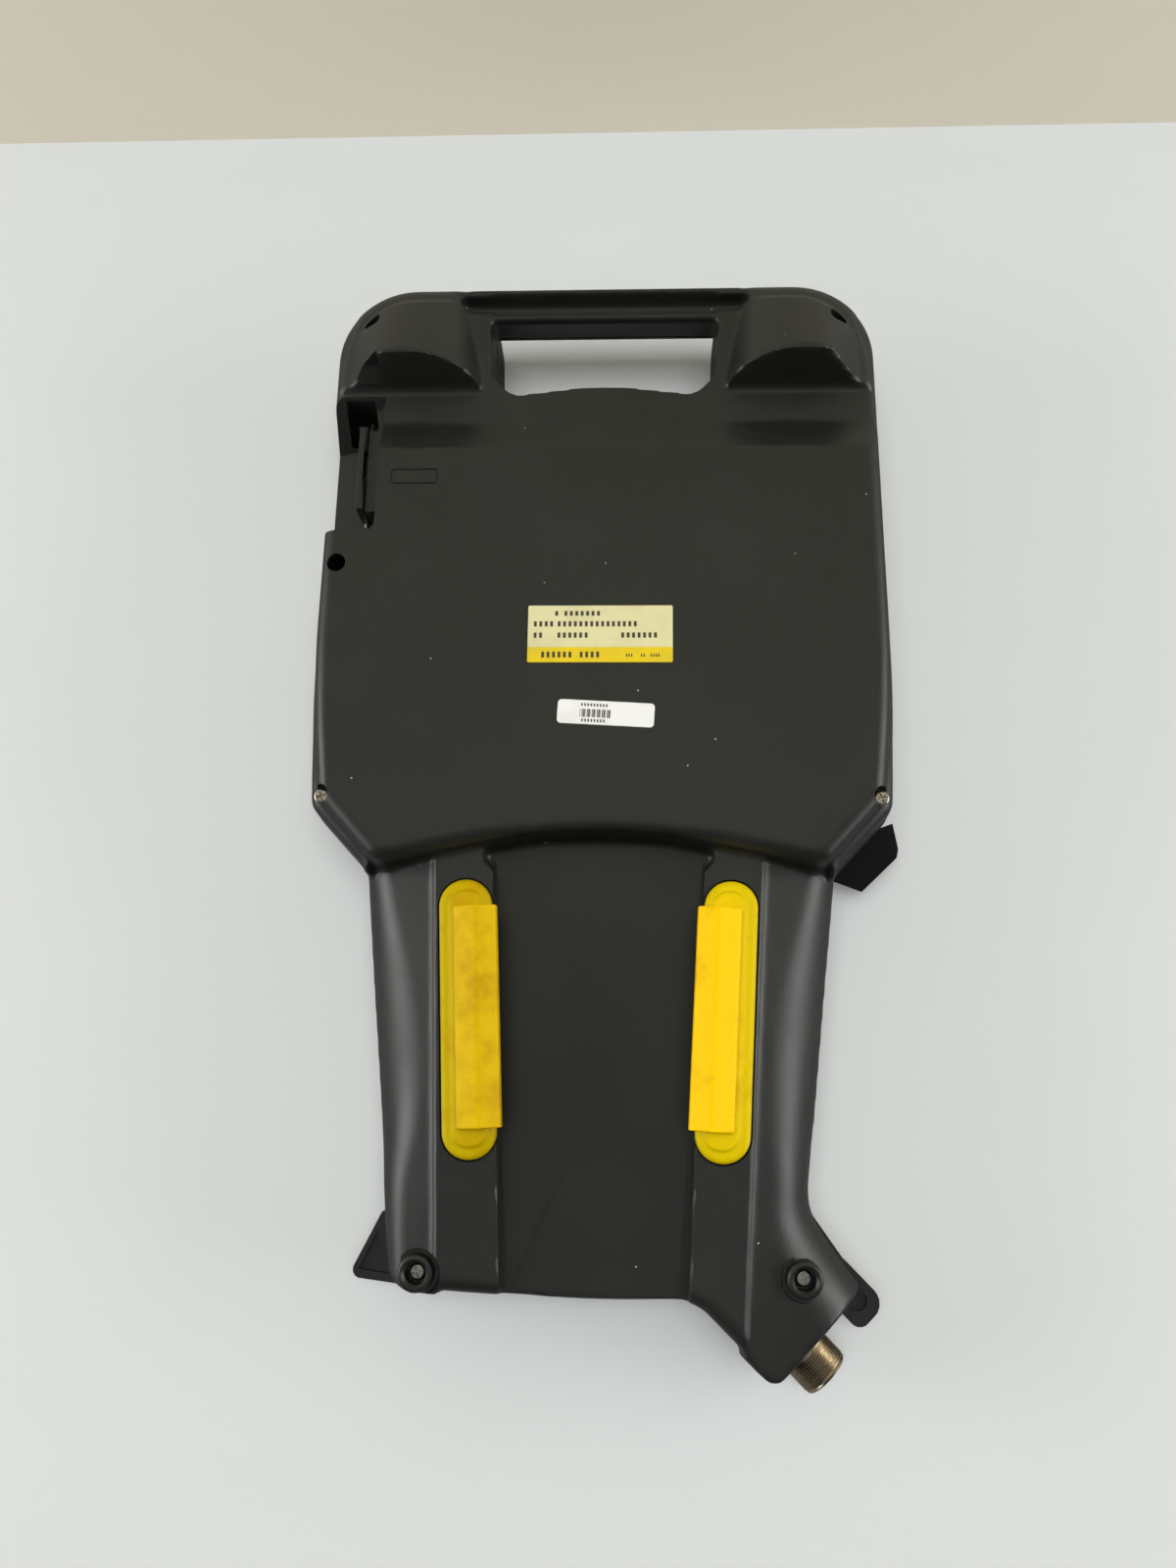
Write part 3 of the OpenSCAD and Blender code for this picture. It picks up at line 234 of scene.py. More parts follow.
def shape(name, bm):
    """Object that holds a bmesh."""
    mesh = bpy.data.meshes.new(name)
    bm.to_mesh(mesh)
    bm.free()
    found = bpy.data.objects.new(name, mesh)
    scene.collection.objects.link(found)
    return found


def taken(found):
    """The mesh of an object, which is then removed."""
    bm = bmesh.new()
    bm.from_mesh(found.data)
    bpy.data.objects.remove(found)
    return bm


def settle(found):
    """Applies the modifiers of an object."""
    mesh = bpy.data.meshes.new_from_object(found.evaluated_get(bpy.context.evaluated_depsgraph_get()))
    found.modifiers.clear()
    found.data = mesh
    return found


def combine(found, bm, operation):
    """Adds a solid to an object, cuts it out, or keeps what both share."""
    tool = shape("tool", bm)
    change = found.modifiers.new("change", "BOOLEAN")
    change.operation = operation
    change.solver = "MANIFOLD"
    change.object = tool
    settle(found)
    bpy.data.objects.remove(tool)
    return found


def grown(corners, d):
    """The corner points of an outline moved outwards by d."""
    moved = []
    for i, (x, y, r) in enumerate(corners):
        here = Vector((x, y))
        a = (here - Vector(corners[i - 1][:2])).normalized()
        b = (Vector(corners[(i + 1) % len(corners)][:2]) - here).normalized()
        out = Vector((-(a + b).y, (a + b).x))
        here += out * 2 * d / out.length_squared
        moved.append((here.x, here.y, r + d if r > -d else r))
    return moved


def diagonal(s, t):
    """Point at s along the cable outlet's diagonal and t across it."""
    return (s + t) / math.sqrt(2), (t - s) / math.sqrt(2)


CASE = [(-109.8, 213, 33), (109.8, 213, 33), (111.6, 40, 400), (109.4, -8, 7), (87.6, -31.3, 8), (74.2, -150, 12),
        (*diagonal(188, -58.5), 5), (*diagonal(188, -102), 4), (34, -179.5, 12), (0, -180.5, 300), (-70, -177, 9),
        (-74.2, -150, 60), (-87.6, -31.3, 8), (-109.4, -8, 7), (-111.6, 40, 400)]


def sliced(bm, point, normal):
    """Cuts away what lies beyond a plane and closes the cut."""
    cut = bmesh.ops.bisect_plane(bm, geom=bm.verts[:] + bm.edges[:] + bm.faces[:], plane_co=Vector(point) * MM,
                                 plane_no=normal, clear_outer=True)
    bmesh.ops.edgeloop_fill(bm, edges=[e for e in cut["geom_cut"] if isinstance(e, bmesh.types.BMEdge)])
    bmesh.ops.recalc_face_normals(bm, faces=bm.faces[:])
    return bm


def post(x, y, z0, z1, r, r1=None):
    """Upright round solid, tapered if r1 is given."""
    bm = bmesh.new()
    bmesh.ops.create_cone(bm, cap_ends=True, segments=48, radius1=r * MM, radius2=(r if r1 is None else r1) * MM,
                          depth=(z1 - z0) * MM, matrix=Matrix.Translation((x * MM, y * MM, (z0 + z1) / 2 * MM)))
    return bm


def top_rolled(bm, z1, offset, segments):
    """Rounds the top edge of a post that ends at z1."""
    rim = [e for e in bm.edges if all(v.co.z > (z1 - 0.1) * MM for v in e.verts)]
    bmesh.ops.bevel(bm, geom=rim, offset=offset * MM, affect="EDGES", segments=segments, profile=0.5)
    return bm


def swept(bm, reach, place=Matrix.Identity(4)):
    """Solid that a face leaves when it is set in its place and drawn along reach."""
    bmesh.ops.transform(bm, matrix=place, verts=bm.verts[:])
    end = bmesh.ops.extrude_face_region(bm, geom=bm.faces[:])["geom"]
    bmesh.ops.translate(bm, vec=Vector(reach) * MM, verts=[v for v in end if isinstance(v, bmesh.types.BMVert)])
    bmesh.ops.recalc_face_normals(bm, faces=bm.faces[:])
    return bm


def facing_y(y):
    """Turns an outline drawn in x and z, to stand at y."""
    return Matrix(((1, 0, 0, 0), (0, 0, 1, y * MM), (0, 1, 0, 0), (0, 0, 0, 1)))


def melted(found, voxel, rounds):
    """Gives all edges of a form the soft radii of its mould."""
    melt = found.modifiers.new("melt", "REMESH")
    melt.mode = "VOXEL"
    melt.voxel_size = voxel * MM
    relax = found.modifiers.new("relax", "SMOOTH")
    relax.factor = 0.5
    relax.iterations = rounds
    settle(found)


def between(rows, t):
    """Smooth curve through rows of numbers, at t from 0 to 1."""
    at = min(t * (len(rows) - 1), len(rows) - 1.0001)
    i, f = int(at), at % 1
    a, b, c, d = rows[max(i - 1, 0)], rows[i], rows[i + 1], rows[min(i + 2, len(rows) - 1)]
    return [q + f / 2 * (r - p + f * (2 * p - 5 * q + 4 * r - w + f * (3 * q - p - 3 * r + w)))
            for p, q, r, w in zip(a, b, c, d)]


PARTING = 31
rear = shape("rear_cover_skin", prism(grown(CASE, 1), 30, 52, draft=2, edge=4.5))
# grips: outside a low step along each rail the top falls gently and rolls over to the side of the case,
# in a radius that swells from 14 mm at the arch to 33 mm where the palm lies; the right one follows the cable outlet.
# Each row along the side gives x and y of the wall, direction inwards, radius of the roll, fall of the top in degrees.
GRIPS = {
    -1: [(90.4, -20, -1, 0, 14, 18), (88, -45, -1, 0, 20.5, 18), (85.2, -71.5, -1, 0, 30.5, 18),
         (82.5, -95, -1, 0, 33, 18), (79.7, -119, -1, 0, 28, 18), (77.4, -139.6, -1, 0, 17, 18),
         (75.1, -158, -1, 0, 13, 17), (71.5, -190, -1, 0, 11, 17)],
    1: [(90.2, -20, -1, 0, 14, 18), (87.6, -45, -1, 0, 21, 18), (84.5, -71.5, -1, 0, 31, 18),
        (81.8, -95, -1, 0, 33, 17), (79, -119, -1, 0, 28, 17), (76.3, -138, -0.99, -0.1, 21, 16),
        (76.5, -150, -0.96, -0.28, 22, 14), (81.6, -160, -0.85, -0.53, 25, 9),
        (92.2, -174.7, -0.813, -0.582, 26, 7), (115.5, -207.2, -0.813, -0.582, 26, 7)],
}
RIDGES = {-1: ((60.4, -35), (54.9, -162)), 1: ((60.2, -34), (50.6, -193.7))}
for side, path in GRIPS.items():
    (x0, y0), (x1, y1) = RIDGES[side]
    lean = (x0 - x1) / (y0 - y1)
    skin = bmesh.new()
    fine = 2
    bmesh.ops.create_grid(skin, x_segments=24 * fine, y_segments=80 * fine, size=1)
    for vert in skin.verts:
        x, y, u, v, r, fall = between(path, vert.co.y / 2 + 0.5)
        fall = math.radians(fall)
        width = (x - x0 - (y - y0) * lean) / (v * lean - u)
        deep = r
        for turn in range(8):
            # the centre of the roll lies deep inside the wall, which the roll meets at the parting line
            flat = max(width - deep + r * math.sin(fall), 0)
            z = 50.4 - flat * math.tan(fall) - r * math.cos(fall)
            deep = math.sqrt(r * r - max(PARTING - z, 0) ** 2)
        low = math.acos(min(max(PARTING - z, 0) / r, 1))
        share = vert.co.x / 2 + 0.5
        if share < 0.75:
            turned = low + (fall - low) * share / 0.75
            d, z = deep - r * math.sin(turned), z + r * math.cos(turned)
        else:
            share = share * 4 - 3
            d, z = deep - r * math.sin(fall) + flat * share, z + r * math.cos(fall) + flat * math.tan(fall) * share
        vert.co = Vector((side * (x + u * d), y + v * d, z)) * MM
    under = bmesh.ops.extrude_face_region(skin, geom=skin.faces[:])["geom"]
    for vert in (g for g in under if isinstance(g, bmesh.types.BMVert)):
        vert.co.z = 30 * MM
    bmesh.ops.recalc_face_normals(skin, faces=skin.faces[:])
    grip = shape("grip", skin)
    combine(grip, prism(grown(CASE, 3), 29, 55, draft=3, edge=5), "INTERSECT")
    outside = [(x0 + (-22 - y0) * lean, -22, 0), (x0 + (-235 - y0) * lean, -235, 0), (150, -235, 0), (150, -33, 0),
               (86, -33, 0), (83, -22, 0)]
    combine(rear, prism([(side * x, y, r) for x, y, r in outside][::side], 28, 70), "DIFFERENCE")
    combine(rear, taken(grip), "UNION")
# flat back, 60 mm high, rolled over at its sides and cut away by the sloping step
BACK = [(-109.4, 213, 33), (109.4, 213, 33), (111.2, 40, 400), (106.4, -7, 9), (82.8, -33, 9), (44.4, -25, 8),
        (0, -20.8, 200), (-44.4, -25, 8), (-82.8, -33, 9), (-106.4, -7, 9), (-111.2, 40, 400)]
back = prism(BACK, 31, 60, draft=2.2, edge=5.5)
slope = Vector((0, math.sin(math.radians(27.9)), math.cos(math.radians(27.9))))
combine(rear, sliced(back, (0, 134, 60), slope), "UNION")
HEAD = [(-109.8, 213, 33), (109.8, 213, 33), (111.6, 110, 0), (-111.6, 110, 0)]
# two humps: barrels that sink towards the handle, each ended by an upright half-moon face
for side in (-1, 1):
    barrel = bmesh.new()
    bmesh.ops.create_cone(barrel, cap_ends=True, segments=160, radius1=30.5 * MM, radius2=30.5 * MM, depth=110 * MM,
                          matrix=Matrix.Translation((0, 0, 15 * MM)))
    bmesh.ops.rotate(barrel, cent=(0, 0, 0), matrix=Matrix.Rotation(math.radians(-112), 3, "X"), verts=barrel.verts[:])
    bmesh.ops.translate(barrel, vec=(side * 78.5 * MM, 164 * MM, 43.5 * MM), verts=barrel.verts[:])
    moon = Vector((0, -math.cos(math.radians(10)), math.sin(math.radians(10))))
    hump = shape("hump", sliced(barrel, (0, 164, 51), moon))
    roll = shape("roll", prism(grown(HEAD, 0.3), 31, 54.6, edge=10))
    combine(roll, prism(grown(HEAD, -8.4), 31, 54.5), "UNION")
    combine(roll, prism(grown(HEAD, -8.4), 54, 76, draft=16), "UNION")
    combine(hump, taken(roll), "INTERSECT")
    combine(rear, taken(hump), "UNION")
# hand opening, then the bar of the handle across it: rim, groove, ridge and a hollow underside
HAND = [(-47.5, 222, 0), (47.5, 222, 0), (45.5, 171, 5), (37, 162, 8), (0, 166.6, 90), (-37, 162, 8), (-45.5, 171, 5)]
combine(rear, prism(HAND, 20, 90), "DIFFERENCE")
BAR = [(213.5, 44, 8), (212, 26, 4), (208, 22, 3), (203.5, 27, 4), (196, 49.6, 0.8), (197, 51.6, 0.8), (199, 51.6, 0.8),
       (200.5, 44.6, 1.5), (207, 44.6, 1.5), (209, 51.6, 0.8), (211, 51.6, 1.6)]


def handle(half, z0, z1):
    """Length of the handle bar between two heights."""
    bar = swept(outline(BAR, 0, 6), (2 * half, 0, 0),
                Matrix(((0, 0, 1, -half * MM), (1, 0, 0, 0), (0, 1, 0, 0), (0, 0, 0, 1))))
    return sliced(sliced(bar, (0, 0, z0), Vector((0, 0, -1))), (0, 0, z1), Vector((0, 0, 1)))


combine(rear, handle(55.7, 30, 70), "UNION")
# the groove of the handle runs a little way into the humps and ends in slanting walls
GROOVE = [(-60, 207.4, 1), (60, 207.4, 1), (54.5, 200.4, 1), (-54.5, 200.4, 1)]
combine(rear, prism(GROOVE, 45, 80, draft=-3), "DIFFERENCE")
# trough between the rails, soft under the arch
TROUGH = [(-44.4, -24.5, 3), (-25, -20.4, 60), (0, -19.2, 200), (25, -20.4, 60), (44.4, -24.5, 3), (38, -32, 3),
          (31, -188, 0), (-31, -188, 0), (-38, -32, 3)]
combine(rear, prism(TROUGH, 42, 80, draft=-3), "DIFFERENCE")
melted(rear, 1.05, 4)
# crisp edges along the rails
EDGE = [(-38.6, -27, 0), (38.6, -27, 0), (31.3, -188, 0), (-31.3, -188, 0)]
combine(rear, prism(EDGE, 42, 51.4), "DIFFERENCE")
combine(rear, prism(EDGE, 51.4, 53, draft=-1.6), "DIFFERENCE")
# recess for the data port: floor that falls outwards, ledge behind the flap, deep pocket under the handle end
PORT = [(-95.4, 33.2), (-95.4, 47.5), (-90.6, 47.5), (-88.4, 51), (-88.4, 90), (-150, 90), (-150, 31), (-113.6, 31),
        (-101, 33.2)]
port = swept(outline([(x, z, 0) for x, z in PORT], 0), (0, 70, 0), facing_y(99.5))
combine(rear, sliced(port, (0, 150, 36), Vector((0, 15, -11)).normalized()), "DIFFERENCE")
POCKET = [(-105.6, 148.7, 0.5), (-105.1, 160.8, 0.5), (-93.4, 160.8, 0.5), (-91.4, 149, 0.5)]
PIN_HOLE = [(-99, 113.5, 0.3), (-91.3, 113.5, 0.3), (-91.6, 108, 2), (-93.4, 105.6, 1), (-95.8, 107, 1)]
SOCKET = [(-99, 135, 0), (-80, 135, 0), (-80, 121, 0), (-99, 121, 0)]
for corners, z0, z1 in ((POCKET, 28, 90), (PIN_HOLE, 28, 90), (SOCKET, 39.8, 46.3)):
    combine(rear, prism(corners, z0, z1), "DIFFERENCE")


# centre of a lever: distance from the centre line and y, and its turn in plan
LEVER_X, LEVER_Y, LEVER_TURN = 46.2, -85, math.radians(3)


def pill(side, u0, u1, v0, v1, r, grow=0):
    """Outline of a rounded rectangle in the frame of a lever: u towards the centre line, v along the lever."""
    cos, sin = math.cos(LEVER_TURN), math.sin(LEVER_TURN)
    corners = []
    for u, v in ((u0 - grow, v1 + grow), (u1 + grow, v1 + grow), (u1 + grow, v0 - grow), (u0 - grow, v0 - grow)):
        corners.append((-side * (-LEVER_X + u * cos - v * sin), LEVER_Y + u * sin + v * cos, r + grow))
    return corners


# seats of the lever boots and the slots under them
for side in (-1, 1):
    combine(rear, prism(pill(side, -9.65, 9.65, -49.2, 49.2, 9.6, 0.7), 49, 80), "DIFFERENCE")
    combine(rear, prism(pill(side, -5.1, 7.1, -35.1, 35.1, 0.5), 20, 80), "DIFFERENCE")
# bosses that stand in the hollows, and the wells of the seven screws
for x, y in ((-61.4, -171.7), (71.5, -171.4)):
    combine(rear, post(x, y, 46.4, 60, 7.6, 11), "DIFFERENCE")
    combine(rear, top_rolled(post(x, y, PARTING, 51, 6.3), 51, 1.5, 5), "UNION")
    combine(rear, post(x, y, 50, 51.2, 3.8, 4.9), "DIFFERENCE")
WELLS = [(93.9, 190.8, 49), (-93.9, 190.8, 49), (103.6, -5, 52), (-103.6, -5, 52), (-102.3, 86, 46),
         (-61.4, -171.7, 44), (71.5, -171.4, 44)]
for x, y, z in WELLS:
    combine(rear, post(x, y, z, 90, 3.7), "DIFFERENCE")
    combine(rear, post(x, y, 20, 90, 1.9), "DIFFERENCE")
# engraved frame beside the port
frame_cut = outline([(-82.8, 125.3, 1.5), (-64.2, 125.3, 1.5), (-64.2, 118.7, 1.5), (-82.8, 118.7, 1.5)], 59.45)
bmesh.ops.inset_region(frame_cut, faces=frame_cut.faces[:], thickness=0.7 * MM, use_boundary=True, use_even_offset=True)
bmesh.ops.delete(frame_cut, geom=[max(frame_cut.faces, key=lambda f: f.calc_area())], context="FACES")
combine(rear, swept(frame_cut, (0, 0, 3)), "DIFFERENCE")
# hollow inside, with a wall round the recess of the data port
INSIDE = [(-84, 128, 4), (104, 128, 6), (106, 40, 300), (101, -4, 6), (88, -15, 6), (-88, -15, 6), (-101, -4, 6),
          (-105, 40, 300), (-105, 95, 4), (-84, 95, 4)]
combine(rear, prism(INSIDE, 25, 57), "DIFFERENCE")
combine(rear, prism([(-66, -14.5, 3), (66, -14.5, 3), (60, -172, 3), (-54, -164, 3)], 25, 39), "DIFFERENCE")
for side in (-1, 1):
    under_hump = [(52, 168, 3), (52, 196, 3), (86, 204, 8), (102, 190, 8), (104, 168, 3)]
    combine(rear, prism([(side * x, y, r) for x, y, r in under_hump][::side], 25, 47), "DIFFERENCE")
rear_abs = moulded_abs("textured_charcoal_abs", "#161714", "#21231F", 0.4, 0.45)


def finished(found, made, body, nodes):
    """Gives a piece its material, smooth shading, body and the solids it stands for."""
    found.data.materials.clear()
    found.data.materials.append(made)
    found.data.polygons.foreach_set("use_smooth", [True] * len(found.data.polygons))
    if body:
        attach(found, body)
    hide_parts(*nodes)
    return found


def crisp(found):
    """Keeps the edges above 35 degrees sharp."""
    found.data.set_sharp_from_angle(angle=math.radians(35))


finished(rear, rear_abs, "root", ["rear_cover"])
crisp(rear)

# ---------------------------------------------------------------- Case screws
# Seven cross-head M3 screws of zinc-plated steel at the bottom of their wells.


def metal(name, code, roughness, wear, mottle):
    """Bare or plated metal whose shine is broken by fingerprints and fine scratches."""
    made, tree, shader = material(name, code, roughness, 1.0)
    place = add(tree, "ShaderNodeTexCoord").outputs["Object"]
    stain = add(tree, "ShaderNodeTexNoise", {"Vector": place},
                {"Scale": 1 / (mottle * MM), "Detail": 4.0, "Roughness": 0.7})
    tone = add(tree, "ShaderNodeMix", {"Factor": stain.outputs["Fac"]},
               {"A": colour(code), "B": colour(wear)}, data_type="RGBA")
    tree.links.new(tone.outputs["Result"], shader.inputs["Base Color"])
    gloss = add(tree, "ShaderNodeMapRange", {"Value": stain.outputs["Fac"]},
                {"From Min": 0.3, "From Max": 0.7, "To Min": roughness - 0.08, "To Max": roughness + 0.12})
    tree.links.new(gloss.outputs[0], shader.inputs["Roughness"])
    return made


zinc = metal("zinc_plated_steel", "#C9C4B8", 0.28, "#8F8A7C", 1.5)
nickel = metal("nickel_plated_brass", "#D2C5AC", 0.3, "#8C7C62", 3.0)
tin = metal("tinned_steel", "#BFC0BE", 0.35, "#8E8F8E", 4.0)
brass = metal("turned_brass", "#C79A45", 0.3, "#9A7430", 2.0)
alloy = metal("anodised_aluminium", "#B8BABC", 0.4, "#9C9EA0", 6.0)

all_heads = bmesh.new()
for x, y, z in WELLS:
    head = shape("head", top_rolled(post(x, y, z, z + 2.2, 2.9), z + 2.2, 0.9, 5))
    combine(head, post(x, y, 18.5, z + 0.5, 1.5), "UNION")
    for turn in (0, 90):
        cross = bmesh.new()
        bmesh.ops.create_cube(cross, size=1, matrix=Matrix.Translation((x * MM, y * MM, (z + 2.1) * MM))
                              @ Matrix.Rotation(math.radians(turn + 20), 4, "Z")
                              @ Matrix.Diagonal((3.4 * MM, 0.7 * MM, 2.2 * MM, 1)))
        combine(head, cross, "DIFFERENCE")
    all_heads.from_mesh(head.data)
    bpy.data.objects.remove(head)
screws = shape("case_screw_heads", all_heads)
finished(screws, zinc, "root", ["case_screws"])
crisp(screws)

# ---------------------------------------------------------------- Enabling levers
# Each lever is a stiff finger bar under a yellow rubber skin. The skin spreads into an oblong boot
# that seals the slot in the rail; the boot stays on the cover while the bar rocks 6 degrees.


def grubby_rubber(name, code, boot, dirt, low, high):
    """Moulded rubber, greener at the boot, with grease worked in: brown smudges, and specks of black dust."""
    made, tree, shader = material(name, code, 0.5)
    shader.inputs["Specular IOR Level"].default_value = 0.12
    place = add(tree, "ShaderNodeTexCoord").outputs["Object"]
    patch = add(tree, "ShaderNodeTexNoise", {"Vector": place}, {"Scale": 60.0, "Detail": 6.0, "Roughness": 0.65})
    smudge = add(tree, "ShaderNodeMapRange", {"Value": patch.outputs["Fac"]}, {"From Min": low, "From Max": high})
    height = add(tree, "ShaderNodeSeparateXYZ", {"Vector": place}).outputs["Z"]
    high_up = add(tree, "ShaderNodeMapRange", {"Value": height}, {"From Min": 0.0555, "From Max": 0.0585})
    field = add(tree, "ShaderNodeMix", {"Factor": high_up.outputs[0]},
                {"A": colour(boot), "B": colour(code)}, data_type="RGBA")
    tone = add(tree, "ShaderNodeMix", {"Factor": smudge.outputs[0], "A": field.outputs["Result"]},
               {"B": colour(dirt)}, data_type="RGBA")
    dots = add(tree, "ShaderNodeTexVoronoi", {"Vector": place}, {"Scale": 300.0, "Randomness": 1.0}, feature="F1")
    few = add(tree, "ShaderNodeMath", {0: dots.outputs["Distance"]}, {1: 0.035}, operation="LESS_THAN")
    speck = add(tree, "ShaderNodeMix", {"Factor": few.outputs[0], "A": tone.outputs["Result"]},
                {"B": colour("#4A3E0C")}, data_type="RGBA")
    tree.links.new(speck.outputs["Result"], shader.inputs["Base Color"])
    skin = add(tree, "ShaderNodeTexNoise", {"Vector": place}, {"Scale": 1500.0, "Detail": 2.0})
    bump = add(tree, "ShaderNodeBump", {"Height": skin.outputs["Fac"]}, {"Strength": 0.2, "Distance": 0.0001})
    tree.links.new(bump.outputs[0], shader.inputs["Normal"])
    return made


# the left lever is drawn in a darker yellow, a painted shade for light that falls from the right, and it also carries
# more smudges of real grease: colours of bar and boot, then where the smudges begin and end
for side, name, code, boot, low, high in ((-1, "left", "#D2AE00", "#B8A200", 0.45, 0.8),
                                          (1, "right", "#F4C400", "#D2B800", 0.55, 0.95)):
    lever = shape("enabling_lever_" + name, prism(pill(side, -9.65, 9.65, -49.2, 49.2, 9.6), 50, 54.6, edge=2.4))
    combine(lever, prism(pill(side, -6.6, 8, -46, 46, 6.5), 52, 56, draft=1.5, edge=0.8), "UNION")
    combine(lever, prism(pill(side, -2.6, 7.6, -37.4, 37.4, 1), 52, 60), "UNION")
    bar = outline([(-3.1, 56.6, 1), (-3.1, 63.2, 1.4), (5.2, 66.7, 1.2), (12.3, 62.8, 1.4), (12.3, 57.4, 1),
                   (11, 56.6, 1)], 0, 6)
    half = 38.2
    swept(bar, (0, 2 * half, 0), facing_y(-half))
    rims = [e for e in bar.edges if all(abs(abs(v.co.y) - half * MM) < 1e-6 for v in e.verts)]
    bmesh.ops.bevel(bar, geom=rims, offset=1.1 * MM, affect="EDGES", segments=4, profile=0.5, clamp_overlap=True)
    place = Matrix.Translation((-LEVER_X * MM, LEVER_Y * MM, 0)) @ Matrix.Rotation(LEVER_TURN, 4, "Z")
    bmesh.ops.transform(bar, matrix=place, verts=bar.verts[:])
    if side > 0:
        bmesh.ops.scale(bar, vec=(-1, 1, 1), verts=bar.verts[:])
        bmesh.ops.reverse_faces(bar, faces=bar.faces[:])
    combine(lever, bar, "UNION")
    melted(lever, 0.45, 3)
    combine(lever, prism(pill(side, -4, 6, -34, 34, 0), 40, 54), "DIFFERENCE")
    finished(lever, grubby_rubber("yellow_rubber_" + name, code, boot, "#AC7E00", low, high), None,
             ["enable_lever_" + name, "lever_boot_" + name])
    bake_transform(lever)

# ---------------------------------------------------------------- Labels
# Cream aluminium foil plate with a yellow band, and a white paper sticker, both glued to the flat back.
# Their print is generic filler: rows of short grey strokes and a block of bars.


def printed(name, code, roughness, band_top, band_code):
    """Printed foil, with a band of another colour below the height band_top, in metres."""
    made, tree, shader = material(name, code, roughness)
    place = add(tree, "ShaderNodeTexCoord").outputs["Object"]
    stain = add(tree, "ShaderNodeTexNoise", {"Vector": place}, {"Scale": 90.0, "Detail": 5.0})
    dirt = add(tree, "ShaderNodeMapRange", {"Value": stain.outputs["Fac"]},
               {"From Min": 0.45, "From Max": 0.9, "To Max": 0.35})
    y = add(tree, "ShaderNodeSeparateXYZ", {"Vector": place})
    below = add(tree, "ShaderNodeMath", {0: y.outputs["Y"]}, {1: band_top}, operation="LESS_THAN")
    field = add(tree, "ShaderNodeMix", {"Factor": below.outputs[0]},
                {"A": colour(code), "B": colour(band_code)}, data_type="RGBA")
    worn = add(tree, "ShaderNodeMix", {"Factor": dirt.outputs[0], "A": field.outputs["Result"]},
               {"B": colour("#8C8458")}, data_type="RGBA")
    tree.links.new(worn.outputs["Result"], shader.inputs["Base Color"])
    return made


ink = material("printing_ink", "#3A3828", 0.5)[0]


def strokes(name, rows, z, place):
    """Filler print: a thin raised stroke for each (x, y, width, height)."""
    bm = bmesh.new()
    for x, y, w, h in rows:
        bmesh.ops.create_cube(bm, size=1, matrix=place @ Matrix.Translation((x * MM, y * MM, z * MM))
                              @ Matrix.Diagonal((w * MM, h * MM, 0.04 * MM, 1)))
    found = shape(name, bm)
    found.data.materials.append(ink)
    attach(found, "root")


PLATE = [(-27.3, 67.8, 0.6), (27.3, 67.8, 0.6), (27.3, 45.2, 0.6), (-27.3, 45.2, 0.6)]
plate = shape("name_plate_foil", prism(PLATE, 60, 60.4, edge=0.12, roll=2, segments=3))
foil = printed("cream_foil", "#D6CF9E", 0.45, 0.0512, "#DDC008")
finished(plate, foil, "root", ["name_plate"])
crisp(plate)
STICKER = [(-18, 4.6, 1.5), (18, 4.6, 1.5), (18, -4.6, 1.5), (-18, -4.6, 1.5)]
stuck = Matrix.Translation((2.4 * MM, 25.4 * MM, 0)) @ Matrix.Rotation(math.radians(-3), 4, "Z")
sticker = shape("asset_sticker_paper", prism(STICKER, 60, 60.15, segments=6))
sticker.data.transform(stuck)
# the sticker has no band: its edge lies far below the sheet
paper = printed("white_label_paper", "#E6E6E2", 0.5, -1.0, "#E6E6E2")
finished(sticker, paper, "root", ["asset_sticker"])
crisp(sticker)
words = []
# rows of filler: height of the row, height of a stroke, then the start and the number of strokes of each run
for y, h, runs in ((64.6, 1.9, [(-16.5, 1), (-13, 7)]), (60.4, 2.1, [(-24.5, 4), (-15.5, 15)]),
                   (55.9, 2.1, [(-24.5, 2), (-15.5, 6), (8.5, 7)]), (48.2, 2.3, [(-21.5, 6), (-7, 4)]),
                   (47.9, 1.2, [(10, 3), (15.6, 2), (19.2, 4)])):
    for x, n in runs:
        pitch = 0.95 if h < 1.5 else 2.05
        words += [(x + i * pitch, y, pitch * 0.52, h) for i in range(n)]
strokes("plate_print", words, 60.41, Matrix.Identity(4))
code_bars = [(-9.5 + i * 0.62 + (0.17 if i % 3 else 0), -0.3, 0.2 + 0.16 * ((i * 7) % 3), 3.1) for i in range(19)]
code_bars += [(-9 + i * 1.15, 2.9, 0.62, 1.1) for i in range(9)]
code_bars += [(-8.6 + i * 1.15, -3.1, 0.62, 1.1) for i in range(8)]
strokes("sticker_print", code_bars, 60.16, stuck)

# ---------------------------------------------------------------- Data port
# Black flap of soft rubber on a steel pin in front of the socket; it folds down onto the floor of the recess.

FLAP = [(-98.9, 149.8, 0.3), (-95.7, 149.8, 0.3), (-95.7, 113.6, 0.3), (-98.9, 113.6, 0.3)]
THUMB_NOTCH = [(-96.6, 138.7, 0), (-90, 138.7, 0), (-90, 127, 0), (-96.6, 127, 0)]
flap = shape("port_flap_skin", prism(FLAP, 35.6, 49.6, edge=0.3, roll=3, segments=3))
combine(flap, prism(THUMB_NOTCH, 45, 52), "DIFFERENCE")
black_abs = moulded_abs("black_abs", "#141514", "#1F201E", 0.42, 0.45)
finished(flap, black_abs, "port_flap", ["usb_flap"])
crisp(flap)

# ---------------------------------------------------------------- Cable connector
# Square flange and threaded barrel turned from brass and nickel plated; the plug's ring screws onto the thread.

